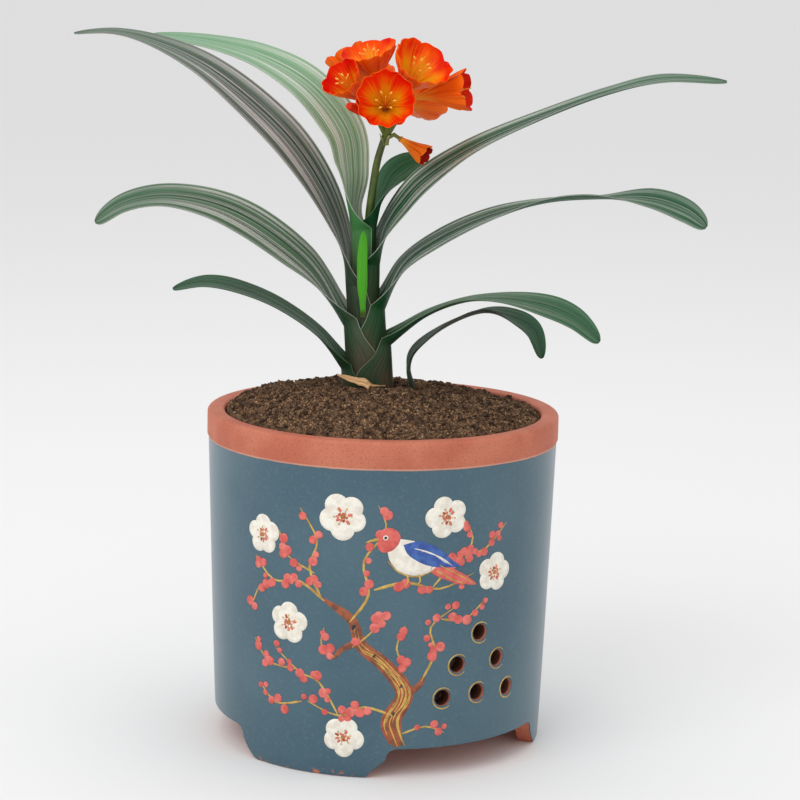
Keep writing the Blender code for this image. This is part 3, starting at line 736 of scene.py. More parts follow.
@dataclass(frozen=True)
class Paint:
    """A brushed enamel: its colour and how far its shade wanders."""

    name: str
    base: Colour
    shade: Colour
    roughness: float = 0.38

    @cache
    def material(self) -> bpy.types.Material:
        """Return the paint's material, with soft brush clouds."""
        material, n, shader = new_material(self.name, self.roughness)
        brush = n.mottle(n.here(), self.base, self.shade, self.shade, (170.0, 900.0), 0.5)
        n.wear(shader, Base_Color=brush["Colour"], Normal=n.bump(brush["Height"], 0.4, 0.0003))
        return material


GOLD = Paint("paint_gold", Colour(206, 172, 84), Colour(170, 130, 60))
BARK = Paint("paint_bark", Colour(160, 84, 48), Colour(110, 62, 40))
WHITE = Paint("paint_white", Colour(240, 236, 224), Colour(222, 214, 200))
ROSE = Paint("paint_rose", Colour(226, 122, 112), Colour(204, 88, 80))
CORAL = Paint("paint_coral", Colour(222, 108, 98), Colour(200, 80, 72))
RUST = Paint("paint_rust", Colour(178, 72, 46), Colour(150, 60, 40))
BLUE = Paint("paint_blue", Colour(64, 104, 176), Colour(40, 74, 148))
INK = Paint("paint_ink", Colour(34, 34, 40), Colour(24, 24, 30))


@dataclass
class PaintLayer:
    """All that one paint draws on the pot's wall, as one mesh of low domed strokes and patches.

    A place is a pair: millimetres round the wall from the front towards +X, and height.
    """

    paint: Paint
    level: int
    rise: float
    sink: float = -0.3
    shoulder: float = 0.86
    points: list = field(default_factory=list)
    faces: list = field(default_factory=list)

    def wrap(self, across: float, height: float, lift: float) -> Vector:
        """Return the point on the wall at a place, lifted off it."""
        turn = math.degrees(across / Ornament.girth)
        return POT.around(turn, POT.wall(height) + lift, height)

    def stroke(self, route: list, widths: tuple, count: int = 0) -> None:
        """Paint a tapering stroke.

        Args:
            route: The places that the stroke runs through.
            widths: Its half width at its start and at its end.
            count: Stations along it, or 0 for four to each part of the route.
        """
        count = count or 4 * (len(route) - 1) + 1
        spots = [curve_point(route, k / (count - 1)) for k in range(count)]
        first = len(self.points)
        shoulder = self.shoulder * self.rise
        section = ((-1.0, self.sink), (-0.8, shoulder), (0.0, self.rise), (0.8, shoulder), (1.0, self.sink))
        for n, (across, height) in enumerate(spots):
            before, after = spots[max(n - 1, 0)], spots[min(n + 1, count - 1)]
            run, climb = after[0] - before[0], after[1] - before[1]
            size = max(math.hypot(run, climb), 1e-6)
            share = n / (count - 1)
            half = widths[0] + (widths[1] - widths[0]) * share
            half *= 0.35 + 0.65 * min(1.0, 8.0 * share, 8.0 * (1.0 - share))
            for side, lift in section:
                self.points.append(self.wrap(across - climb / size * half * side,
                                             height + run / size * half * side, lift))
        rows = [numbers(first + 5 * n, 5) for n in range(count)]
        self.faces += stitch(rows) + [rows[0][::-1], rows[-1]]

    def patch(self, outline: list) -> None:
        """Paint a closed patch, which every point of its outline sees from the middle."""
        mid = [sum(p[i] for p in outline) / len(outline) for i in (0, 1)]
        first, count = len(self.points), len(outline)
        for size, lift in ((1.0, self.sink), (0.96, self.shoulder * self.rise), (0.6, 0.97 * self.rise)):
            self.points += [self.wrap(mid[0] + (a - mid[0]) * size, mid[1] + (h - mid[1]) * size, lift)
                            for a, h in outline]
        rows = [numbers(first + count * r, count) for r in range(3)]
        top = len(self.points)
        self.points += [self.wrap(*mid, self.rise), self.wrap(*mid, self.sink)]
        self.faces += stitch([[top + 1] * count] + rows + [[top] * count])

    def disc(self, across: float, height: float, radius: float, stretch: float = 1.0, lean: float = 0.0,
             sides: int = 14) -> None:
        """Paint a round or oval patch, longer by stretch along a direction in degrees."""
        turn = math.radians(lean)
        outline = []
        for k in range(sides):
            angle = math.tau * k / sides
            u, v = radius * stretch * math.cos(angle), radius * math.sin(angle)
            outline.append((across + u * math.cos(turn) - v * math.sin(turn),
                            height + u * math.sin(turn) + v * math.cos(turn)))
        self.patch(outline)

    def build(self) -> None:
        """Make the layer's piece."""
        piece = closed_piece(f"{self.paint.name}_{self.level}", self.points, self.faces,
                             self.paint.material(), None, 80.0)
        place_piece(piece, "glazed_clay")


def along_ray(place: tuple, reach: float, turn: float) -> tuple[float, float]:
    """Return the place at a reach from another one, in a direction in radians."""
    return place[0] + reach * math.cos(turn), place[1] + reach * math.sin(turn)


@dataclass
class Ornament:
    """A plum branch with blossoms, buds and a small bird, painted by rule on the front wall."""

    girth: ClassVar[float] = 135.0
    clear_of_vents: float = 13.0
    vent_line: float = 8.3
    layers: dict = field(default_factory=dict)
    dice: random.Random = field(default_factory=lambda: random.Random(SEED))

    def layer(self, paint: Paint, level: int) -> PaintLayer:
        """Return the layer of one paint at a level above the glaze, and start it when it is first used."""
        key = (paint.name, level)
        if key not in self.layers:
            self.layers[key] = PaintLayer(paint, level, 0.2 + 0.13 * level)
        return self.layers[key]

    def near_vents(self, across: float, height: float) -> bool:
        """Tell whether a place is too near a vent hole to paint on."""
        for angle, level in POT.vents:
            spot = math.radians(POT.vent_clusters[0] + angle) * self.girth
            if math.hypot(spot - across, level - height) < self.clear_of_vents:
                return True
        return False

    def branch(self, route: list, width: float, buds: int) -> None:
        """Paint one twig with clusters of buds along it."""
        self.layer(GOLD, 1).stroke(route, (width, 0.55))
        for k in range(buds):
            across, height = curve_point(route, 0.18 + 0.82 * (k + self.dice.random()) / buds)
            turn = self.dice.uniform(0.0, math.tau)
            for n in range(self.dice.choice((1, 1, 2, 2, 3))):
                reach = self.dice.uniform(2.6, 5.0)
                place = along_ray((across, height), reach, turn + 1.9 * n)
                if not self.near_vents(*place):
                    paint = self.dice.choice((CORAL, CORAL, ROSE))
                    self.layer(paint, 2).disc(*place, self.dice.uniform(2.2, 4.1), 1.05, math.degrees(turn))

    def trunk(self) -> None:
        """Paint the gnarled trunk in bark brown, with gold and rust lines along it."""
        route = [(18, 26), (11, 46), (21, 68), (6, 90), (-13, 106), (-21, 126), (-44, 141)]
        self.layer(BARK, 0).stroke(route, (10.0, 3.2), 40)
        self.layer(BARK, 0).stroke([(20, 66), (32, 74), (36, 82)], (4.0, 1.6), 9)
        self.layer(BARK, 0).stroke([(-16, 108), (-28, 102), (-34, 94)], (3.4, 1.4), 9)
        for k in range(13):
            drift = -7.2 + 1.2 * k
            start = 0.01 + 0.07 * (k % 5)
            stop = min(0.97, start + 0.42 + 0.06 * (k % 3))
            line = []
            for i in range(9):
                share = start + (stop - start) * i / 8.0
                across, height = curve_point(route, share)
                line.append((across + drift * (1.0 - 0.68 * share), height + 0.9 * math.sin(2.1 * i + k)))
            self.layer(GOLD if k % 3 else RUST, 1).stroke(line, (0.75, 0.4))
        for across, height in ((13, 52), (18, 74), (-3, 98), (-19, 120)):
            self.layer(INK, 1).disc(across, height, 1.3, 1.9, 60.0)

    def blossom(self, across: float, height: float, size: float, lean: float) -> None:
        """Paint a five-petal blossom with a heart of rose dabs and gold stamens."""
        for k in range(5):
            turn = math.radians(lean + 72.0 * k + self.dice.uniform(-5.0, 5.0))
            spot = along_ray((across, height), 0.54 * size, turn)
            grown = size * self.dice.uniform(0.42, 0.48)
            self.layer(WHITE, 2).disc(*spot, grown, 1.06, math.degrees(turn) + 90.0, 20)
        self.layer(WHITE, 2).disc(across, height, 0.34 * size)
        for k in range(11):
            turn = math.radians(lean + 32.7 * k)
            reach = size * self.dice.uniform(0.16, 0.46)
            inner, outer = (along_ray((across, height), r, turn) for r in (0.5 * reach, reach))
            paint = (ROSE, CORAL, ROSE, RUST)[k % 4]
            self.layer(paint, 3).stroke([inner, outer], (0.09 * size, 0.055 * size), 5)
        self.layer(RUST, 3).disc(across, height, 0.11 * size)
        for k in range(6):
            turn = math.radians(lean + 60.0 * k + 14.0)
            tip = along_ray((across, height), 0.36 * size, turn)
            self.layer(GOLD, 4).stroke([(across, height), tip], (0.32, 0.28), 4)
            self.layer(GOLD, 4).disc(*tip, 0.75, 1.0, 0.0, 8)

    def bird(self, across: float, height: float, size: float) -> None:
        """Paint a small perched songbird that looks to the left."""
        def at(shape: tuple) -> list:
            return [(across + size * a, height + size * h) for a, h in shape]

        def fill(paint: Paint, level: int, shape: tuple) -> None:
            closed = at(shape + shape[:1])
            self.layer(paint, level).patch([curve_point(closed, k / 54.0) for k in range(54)])

        fill(CORAL, 2, ((13, -3), (22, -8), (34, -15), (41, -21), (32, -20), (22, -17), (11, -11)))
        self.layer(GOLD, 3).stroke(at(((16, -7), (27, -13), (39, -20))), (0.7, 0.4))
        self.layer(GOLD, 3).stroke(at(((14, -10), (24, -16), (33, -20))), (0.7, 0.4))
        fill(WHITE, 2, ((-15, 4), (-13, -4), (-8, -10), (0, -13), (9, -12), (15, -8), (17, -3), (12, 3),
                        (4, 7), (-4, 9), (-11, 9)))
        fill(BLUE, 3, ((-6, 6), (2, 8), (10, 6), (17, 2), (25, -5), (30, -9), (21, -9), (12, -8), (4, -5),
                       (-3, 0)))
        for k in range(3):
            feather = ((1 + 3 * k, 3.5 - k), (11 + 3 * k, 0.5 - 1.5 * k), (20 + 2 * k, -6 - k))
            self.layer(WHITE, 4).stroke(at(feather), (0.5, 0.3))
        fill(CORAL, 3, ((-20, 9), (-20, 4), (-17, 1), (-12, 2), (-8, 6), (-7, 11), (-10, 15), (-15, 16),
                        (-19, 13)))
        eye = at(((-15.5, 10.0),))[0]
        self.layer(WHITE, 4).disc(*eye, 2.1)
        self.layer(INK, 5).disc(*eye, 1.15)
        self.layer(GOLD, 3).stroke(at(((-19.0, 9.0), (-23, 8.2), (-27, 6.5))), (1.7, 0.5), 5)
        self.layer(GOLD, 3).stroke(at(((-14, -4), (-7, -11), (3, -13.5), (13, -10))), (0.6, 0.45))
        for foot in (-3.0, 4.0):
            self.layer(GOLD, 3).stroke(at(((foot, -12), (foot + 1.0, -16), (foot - 1.0, -19))), (0.8, 0.6))

    def build(self) -> None:
        """Paint every motif, then make one piece for each paint."""
        self.trunk()
        twigs = (([(-42, 139), (-62, 152), (-86, 150), (-104, 166)], 1.4, 7),
                 ([(-44, 140), (-54, 164), (-48, 186), (-62, 210)], 1.4, 6),
                 ([(-22, 124), (-8, 146), (-12, 172), (4, 196), (-2, 216)], 1.4, 7),
                 ([(-4, 150), (20, 156), (46, 150), (74, 160)], 1.6, 3),
                 ([(40, 151), (62, 174), (84, 178), (104, 196)], 1.2, 8),
                 ([(66, 172), (72, 188), (64, 204)], 0.9, 3),
                 ([(34, 78), (44, 100), (40, 120), (58, 134)], 1.3, 5),
                 ([(14, 50), (-10, 57), (-30, 49), (-56, 58)], 1.3, 6),
                 ([(-30, 49), (-46, 74), (-62, 80), (-84, 96)], 1.1, 6),
                 ([(-66, 82), (-92, 84), (-106, 100)], 0.9, 4),
                 ([(-60, 57), (-84, 52), (-100, 64)], 1.0, 4),
                 ([(-33, 95), (-44, 104), (-42, 118)], 1.0, 3),
                 ([(20, 36), (38, 41), (54, 35)], 1.0, 3),
                 ([(-86, 150), (-100, 142), (-108, 128)], 0.9, 3),
                 ([(22, 88), (14, 104), (20, 122)], 1.0, 3),
                 ([(-20, 104), (-6, 116), (6, 132)], 1.0, 3),
                 ([(48, 126), (68, 124), (84, 136)], 1.0, 4),
                 ([(-50, 160), (-74, 172), (-80, 190)], 0.9, 3))
        for route, width, buds in twigs:
            self.branch(route, width, buds)
        for blossom in ((-96, 184, 16.0, 20.0), (-28, 206, 18.5, 50.0), (94, 158, 16.0, 5.0),
                        (50, 206, 17.0, 35.0), (-72, 118, 17.0, 12.0), (-26, 32, 16.5, 60.0)):
            self.blossom(*blossom)
        self.bird(24.0, 178.0, 1.3)
        for angle, level in POT.vents:
            middle = math.radians(POT.vent_clusters[0] + angle) * self.girth
            ring = [along_ray((middle, level), self.vent_line, math.tau * k / 24) for k in range(3, 22)]
            self.layer(GOLD, 1).stroke(ring, (0.5, 0.5), 37)
        for layer in self.layers.values():
            layer.build()


# Leaves

@dataclass(frozen=True)
class LeafFinish:
    """Colours of one leaf: its ground, its dark veins, its pale streaks of painted sheen and its underside,
    painted darker as shade.
    """

    ground: Colour
    vein: Colour
    # The pale colour is painted sheen: pale highlight streaks on the face, and the margin line.
    pale: Colour
    # The underside's colour is painted darker than the face, as shade.
    under: Colour
    sheen_share: float
    tip: Colour
    roughness: float = 0.36

    def material(self, name: str, sheath: float, length: float) -> bpy.types.Material:
        """Make the leaf's material.

        Args:
            name: The material's name.
            sheath: How many millimetres of the leaf, from its base, are sheath.
            length: The leaf's whole length in millimetres.

        Returns:
            A material that reads the leaf's pattern: across from -1 to 1, and along in decimetres.
        """
        material, n, shader = new_material(name, self.roughness, 0.22)
        across, along, under = n.sheet()
        ribs = n.ribs(across, along, 8.5)
        cloud = n.noise(n.join(across, along, 5.0), 2.2, 3.0)
        # Painted sheen: pale highlight streaks along the ribs over the ground colour.
        face = n.mix(n.times(ribs["Broad"], self.sheen_share), self.ground, self.pale)
        tip = n.times(n.rise(along, 0.0066 * length, 0.0088 * length), 0.6)
        veins = n.times(ribs["Fine"], n.minus(0.9, n.times(tip, 0.7)))
        face = n.mix(veins, n.mix(tip, face, self.tip), self.vein)
        # Painted shade: the underside gets a darker colour than the face, with its veins.
        back = n.mix(n.times(ribs["Fine"], 0.6), self.under, self.vein)
        skin = n.mix(under, face, back)
        skin = n.mix(n.times(n.rise(cloud, 0.45, 0.75), 0.35), skin, self.ground)
        edge = n.rise(n.math("ABSOLUTE", across), 0.97, 0.995)
        base = n.rest(n.rise(along, 0.004 * sheath, 0.0125 * sheath))
        husk = n.mix(n.rise(cloud, 0.35, 0.65), Colour(36, 54, 32), Colour(84, 56, 42))
        skin = n.mix(n.times(base, 0.8), skin, husk)
        # The blade's margin line takes the painted sheen colour; the sheath's is tan.
        rim = n.mix(base, self.pale, Colour(160, 146, 112))
        skin = n.mix(n.times(edge, 0.6), skin, rim)
        gloss = n.plus(self.roughness, n.times(ribs["Fine"], 0.14))
        n.wear(shader, Base_Color=skin, Roughness=n.plus(gloss, n.times(base, 0.2)),
               Normal=n.bump(ribs["Height"], 0.6, 0.0005))
        return material


@dataclass(frozen=True)
class Nest:
    """The ellipse of clasping leaf bases, which grows by one step for each leaf."""

    x: float = -10.0
    lean: float = -0.075
    lean_top: float = 362.0
    seat: float = 262.35
    half_x: float = 8.8
    half_y: float = 5.8
    step_x: float = 1.7
    step_y: float = 1.42
    clasp: float = 122.0

    def size(self, index: float) -> tuple[float, float]:
        """Return the ellipse's half sizes for a leaf, counted from the inside."""
        return self.half_x + self.step_x * index, self.half_y + self.step_y * index

    def axis(self, height: float) -> float:
        """Return X of the nest's leaning axis at a height."""
        return self.x + self.lean * (min(height, self.lean_top) - self.seat)


NEST = Nest()


@dataclass
class StrapLeaf:
    """A strap leaf: a channelled blade that leaves the nest and arches over on its own side."""

    name: str
    side: int
    width: float
    knots: tuple
    finish: LeafFinish
    index: float = 0.0
    leave: float = 300.0
    rows: int = 120
    columns: int = 40
    channel: float = 62.0
    thick: float = 1.15
    edge: float = 0.7
    sheath_thick: float = 0.7
    pleat: float = 0.16
    pleats: float = 9.0
    groove: float = 0.45
    slot: str = "leaf"
    sheath_rows: int = 26
    eased: float = 26.0

    def width_share(self, share: float) -> float:
        """Return how wide the blade is along its length, with a blunt rounded tip."""
        return max(0.02, 1.0 - max(0.0, (share - 0.62) / 0.38) ** 2.6) ** 0.6

    def stations(self) -> list:
        """Return midrib point, roll, arc sizes, half width and share at each row."""
        size_x, size_y = NEST.size(self.index)
        mean = 0.5 * (size_x + size_y)
        clasp = math.radians(NEST.clasp) * mean
        rows = []
        for k in range(self.sheath_rows):
            h = NEST.seat + (self.leave - NEST.seat) * k / self.sheath_rows
            spread = smooth_step((h - self.leave + self.eased) / self.eased)
            half = clasp + (0.52 * self.width - clasp) * spread
            rows.append(((NEST.axis(h) + self.side * size_x, 0.0, h), 0.0, size_x, size_y, half, 0.0))
        route = [(NEST.axis(self.leave) + self.side * size_x, 0.0, self.leave, 0.0)] + list(self.knots)
        for k in range(self.rows):
            share = k / (self.rows - 1)
            x, y, z, roll = curve_point(route, share)
            opened = smooth_step(share * (len(route) - 1) / 1.5)
            arcs = [s + (self.channel - s) * opened for s in (size_x, size_y)]
            rows.append(((x, y, z), roll, *arcs, 0.5 * self.width * self.width_share(share), share))
        return rows

    def build(self) -> None:
        """Loft the leaf through its stations and put it in place of its CAD solid."""
        stations = self.stations()
        places = [Vector(s[0]) for s in stations]
        along = 0.0
        upper, lower, pattern = [], [], []
        for n, (place, roll, arc_x, arc_y, half, share) in enumerate(stations):
            before, after = places[max(n - 1, 0)], places[min(n + 1, len(places) - 1)]
            along += (places[n] - before).length
            way = UP if share == 0.0 else (after - before).normalized()
            across = (Vector((0.0, 1.0, 0.0)) - way * way.y).normalized()
            up = across.cross(way) * (-self.side)
            turn = math.radians(roll)
            up, across = (up * math.cos(turn) - across * math.sin(turn),
                          across * math.cos(turn) + up * math.sin(turn))
            reach = min(half / (0.5 * (arc_x + arc_y)), math.radians(NEST.clasp))
            blade = smooth_step(share * 6.0)
            for k in range(self.columns + 1):
                q = 2.0 * k / self.columns - 1.0
                angle = q * reach
                point = places[n] + across * (arc_y * math.sin(angle))
                point += up * (arc_x * (1.0 - math.cos(angle)))
                normal = (up * math.cos(angle) / arc_x - across * math.sin(angle) / arc_y).normalized()
                wave = self.pleat * blade * math.cos(math.pi * self.pleats * q)
                groove = self.groove * blade * math.exp(-(q / 0.07) ** 2)
                body = self.edge + (self.thick - self.edge) * (1.0 - q * q)
                thick = self.sheath_thick + (body - self.sheath_thick) * blade
                upper.append(point + normal * (0.5 * thick + wave - groove))
                lower.append(point - normal * (0.5 * thick - wave + groove * 0.6))
                pattern.append((q, along * 0.01))
        shape = Shape()
        shape.sheet(upper, lower, self.columns + 1, pattern, Face.LOWER)
        material = self.finish.material(self.name + "_skin", self.leave - NEST.seat, along)
        place_piece(shape.piece(self.name + "_blade", material, 70.0), self.slot, (self.name,))


@dataclass
class SingleLeaf(StrapLeaf):
    """A leaf that doesn't clasp the nest: the low one beside it, or the narrow young one."""

    base_half: float = 7.0
    base_arc: float = 5.0
    open_arc: float = 45.0
    open_from: float = 0.12
    open_over: float = 0.35

    def stations(self) -> list:
        """Return midrib point, roll, arc sizes, half width and share at each row."""
        rows = []
        for k in range(self.rows):
            share = k / (self.rows - 1)
            x, y, z, roll = curve_point(list(self.knots), share)
            spread = smooth_step((share - self.open_from) / self.open_over)
            arc = self.base_arc + (self.open_arc - self.base_arc) * spread
            half = (self.base_half + (0.5 * self.width - self.base_half) * spread) * self.width_share(share)
            rows.append(((x, y, z), roll, arc, arc, half, share))
        return rows


def leaf_finish(ground: tuple, vein: tuple, pale: tuple, under: tuple, sheen_share: float,
                tip: tuple = (46, 96, 64)) -> LeafFinish:
    """Return a leaf's finish from plain 8-bit colours."""
    tones = [Colour(*tone) for tone in (ground, vein, pale, under)]
    return LeafFinish(*tones, sheen_share, Colour(*tip))


# Each finish's third colour is painted sheen, and the share after it is how much of the face it covers; the
# fourth, the underside, is painted darker as shade.
GREEN_GREY = leaf_finish((88, 116, 88), (10, 44, 26), (206, 204, 196), (56, 84, 60), 0.75)
MAUVE_GREY = leaf_finish((96, 108, 94), (12, 22, 18), (204, 196, 194), (34, 66, 46), 0.7)
PALE_GREEN = leaf_finish((140, 172, 138), (84, 132, 92), (214, 218, 208), (70, 136, 72), 0.7, (94, 148, 108))
DARK_GREEN = leaf_finish((24, 74, 42), (10, 42, 24), (112, 132, 106), (26, 62, 38), 0.35)
SEA_GREEN = leaf_finish((44, 96, 58), (14, 54, 32), (158, 172, 150), (34, 72, 46), 0.5)
DEEP_GREEN = leaf_finish((18, 84, 44), (8, 40, 22), (120, 156, 124), (18, 78, 40), 0.5)
STRIPED_GREEN = leaf_finish((32, 86, 50), (8, 34, 20), (200, 206, 196), (18, 78, 40), 0.75)
NIGHT_GREEN = leaf_finish((26, 62, 38), (8, 30, 16), (104, 120, 100), (18, 46, 30), 0.5)
YOUNG_GREEN = leaf_finish((96, 190, 40), (60, 140, 34), (160, 220, 80), (80, 170, 40), 0.6, (70, 160, 44))


@dataclass
class LeafFan:
    """All the leaves, with the narrow young one and the low one beside the nest."""

    def leaves(self) -> list:
        """Return every leaf, from the outside of the nest to its middle."""
        return [
            StrapLeaf("leaf_left_1", -1, 37.0, (
                (-53, -2, 323, 4), (-84, 2, 344, 6), (-116, 8, 356, 8), (-144, 14, 360, 9),
                (-170, 18, 355, 10)), DARK_GREEN, 7.4, 296.0),
            StrapLeaf("leaf_right_2", 1, 36.0, (
                (32, -6, 340, -4), (63, -16, 354, -5), (93, -26, 357, 6), (124, -34, 353, 22),
                (148, -40, 344, 28), (167, -43, 328, 32)), SEA_GREEN, 6.0, 316.0),
            StrapLeaf("leaf_left_2", -1, 40.0, (
                (-54, 2, 366, 20), (-76, 6, 387, 34), (-109, 12, 409, 37), (-141, 16, 422, 30),
                (-177, 20, 427, 22), (-209, 23, 421, 24), (-233, 25, 406, 34)), GREEN_GREY, 5.0, 330.0),
            StrapLeaf("leaf_right_3", 1, 37.0, (
                (14, -4, 378, 10), (42, -12, 401, 14), (80, -22, 421, 9), (122, -34, 435, -5),
                (163, -44, 440, -6), (201, -52, 440, 20), (228, -57, 432, 36), (244, -60, 421, 44)),
                STRIPED_GREEN, 4.0, 344.0),
            StrapLeaf("leaf_left_3", -1, 40.0, (
                (-35, 0, 395, 14), (-52, 6, 435, 32), (-78, 16, 472, 42), (-111, 27, 503, 38),
                (-147, 38, 529, 26), (-184, 46, 546, 14), (-220, 52, 555, 6), (-253, 55, 554, 8)),
                MAUVE_GREY, 3.0, 362.0),
            StrapLeaf("leaf_right_4", 1, 40.0, (
                (-1, -4, 405, 10), (11, -10, 426, 20), (31, -16, 449, 22), (69, -24, 476, 12),
                (119, -38, 501, 4), (167, -52, 521, 2), (208, -60, 532, 8), (254, -65, 532, 14)),
                STRIPED_GREEN, 2.0, 380.0),
            StrapLeaf("leaf_left_4", -1, 40.0, (
                (-30, 6, 428, 16), (-31, 18, 454, 40), (-38, 34, 484, 52), (-66, 50, 516, 44),
                (-103, 66, 536, 28), (-146, 80, 547, 18), (-194, 88, 553, 16)), PALE_GREEN, 1.0, 404.0,
                slot="pale_leaf"),
            StrapLeaf("leaf_right_5", 1, 32.0, (
                (-6, 7, 426, 6), (0, 16, 439, 24), (9, 24, 451, 46), (27, 32, 462, 58)),
                DEEP_GREEN, 0.0, 408.0),
            SingleLeaf("leaf_right_1", 1, 29.0, (
                (25.0, 0.0, 250.35, 0.0), (24.5, 0, 280, 0), (20.5, 0, 298, 0), (27, 6, 313, 4),
                (50, 14, 330, -6), (78, 22, 340, -8), (102, 28, 335, 18), (120, 32, 324, 36),
                (128, 34, 302, 44)), NIGHT_GREEN, leave=300.0),
            SingleLeaf("leaf_young", -1, 8.0, (
                (-17.3, -11.4, 339, -90), (-18.0, -13.6, 354, -90), (-18.6, -16.4, 370, -90),
                (-18.8, -18.0, 388, -90), (-18.0, -18.6, 408, -90)), YOUNG_GREEN, leave=269.0, pleats=2.0,
                base_half=2.2, base_arc=16.0, open_arc=16.0, columns=16, slot="young_leaf"),
        ]

    def build(self) -> None:
        """Build each leaf."""
        for leaf in self.leaves():
            leaf.build()


# Soil and what lies in it

@dataclass
class SoilBed:
    """The domed potting soil: a fine crust with wells for the plant, and loose grains on it."""

    radius: float = 124.6
    rings: int = 84
    segments: int = 300
    wells: tuple = ((-10.0, 0.0, 24.6, 19.2, 238.0), (25.0, 0.0, 10.4, 10.4, 250.0))
    edge_height: float = 258.5
    dome: float = 26.0
    swell: float = 1.6
    base: float = 38.5
    top: float = 284.0
    bank: float = 4.0
    sink: float = -0.8
    clod: tuple = (-84.0, 44.0, 4.0)
    open_radius: float = 123.0
    open_above: float = 255.0
    well_margin: float = 3.0
    roughen: float = 0.35

    def height(self, x: float, y: float) -> float:
        """Return the soil's height at a place, as the CAD solid has it."""
        share = min(1.0, math.hypot(x, y) / POT.mouth)
        rounded = self.dome * (1.0 - share ** 5)
        lee = 1.0 - 0.38 * max(0.0, min(1.0, (x - 8.0) / 90.0))
        lee *= 1.0 - 0.3 * max(0.0, min(1.0, (y + 5.0) / 60.0))
        swell = math.sin(0.061 * x + 1.3) * math.cos(0.052 * y - 0.4)
        return self.edge_height + rounded * lee + self.swell * swell * (1.0 - share ** 4)

    def inside_well(self, x: float, y: float) -> tuple[float, float] | None:
        """Return how deep in a well a place is, from 1 at its edge, and that well's floor."""
        for cx, cy, half_x, half_y, floor in self.wells:
            share = math.hypot((x - cx) / half_x, (y - cy) / half_y)
            if share < 1.0:
                return share, floor
        return None

    def material(self, name: str, dark: Colour, mid: Colour, speck: Colour) -> bpy.types.Material:
        """Make a crumbly matte earth finish."""
        material, n, shader = new_material(name, 0.95, 0.1)
        place = n.here()
        earth = n.mottle(place, dark, mid, speck, (190.0, 430.0), 0.7)
        crumbs = n.bump(n.noise(place, 800.0, 4.0, 0.7), 0.6, 0.0006)
        n.wear(shader, Base_Color=earth["Colour"], Normal=crumbs)
        return material

    def crust(self) -> bpy.types.Object:
        """Build the soil body: a fine upper crust over plain sides and a flat base."""
        points, rows = [self.crust_point(0.0, 0.0, 0.0)], [[0] * self.segments]
        for r in range(1, self.rings + 1):
            share = r / self.rings
            rows.append(numbers(len(points), self.segments))
            spots = POT.ring(self.radius * share, 0.0, self.segments)
            points += [self.crust_point(spot.x, spot.y, share) for spot in spots]
        sides = [(POT.inside(h) + self.sink, h) for h in (252.0, 225.0, 180.0, 110.0, 60.0, 43.5)]
        for radius, height in sides + [(POT.floor_radius - 6.6, self.base)]:
            rows.append(numbers(len(points), self.segments))
            points += POT.ring(radius, height, self.segments)
        rows.append([len(points)] * self.segments)
        points.append((0.0, 0.0, self.base))
        earth = self.material("dark_earth", Colour(64, 48, 38), Colour(104, 81, 62), Colour(144, 116, 90))
        return closed_piece("soil_crust", points, stitch(rows), earth, None, 180.0)

    def crust_point(self, x: float, y: float, share: float) -> tuple[float, float, float]:
        """Return a point of the crust: the dome with clods on it, sunk where a well is."""
        place = Vector((x * 0.055, y * 0.055, 2.0))
        rough = noise.fractal(place, 0.9, 2.1, 4) * 2.2 + noise.noise(Vector((x, y, 0.0)) * 0.21) * 1.2
        rough += noise.noise(Vector((x, y, 7.0)) * 0.5) * 1.1
        clod_x, clod_y, clod_height = self.clod
        lump = clod_height * math.exp(-((x - clod_x) ** 2 + (y - clod_y) ** 2) / 40.0)
        height = self.height(x, y) + rough * (1.0 - 0.7 * share ** 6) + self.sink + lump
        # Loose soil lies banked against the pot, a little higher on the left.
        height += (self.bank - 0.8 * x / POT.mouth) * share ** 7
        well = self.inside_well(x, y)
        if well:
            rim_share, floor = well
            height += (floor - height) * smooth_step((1.0 - rim_share) / 0.14)
        return x, y, min(height, self.top)

    def grains(self) -> None:
        """Scatter loose grains with Geometry Nodes, as one plain mesh for each kind of grain."""
        tones = {"dark": ((48, 35, 28), (96, 74, 57), (128, 101, 78)),
                 "brown": ((118, 90, 67), (152, 119, 90), (96, 72, 54)),
                 "ochre": ((164, 128, 90), (200, 164, 122), (134, 100, 70)),
                 "pale": ((150, 134, 114), (196, 184, 164), (96, 80, 66))}
        finishes = {key: self.material(f"{key}_grain", *[Colour(*tone) for tone in row])
                    for key, row in tones.items()}
        kinds = (("soil_grains", "dark", 6400, (0.6, 1.6)), ("soil_crumbs", "brown", 7800, (0.4, 1.2)),
                 ("soil_clods", "dark", 300, (1.8, 3.6)), ("ochre_grains", "ochre", 2900, (0.35, 0.85)),
                 ("pale_crumbs", "pale", 50, (0.6, 1.5)))
        for turn, (name, key, count, sizes) in enumerate(kinds):
            place_piece(self.scatter(name, finishes[key], count, sizes, SEED + turn), "soil")

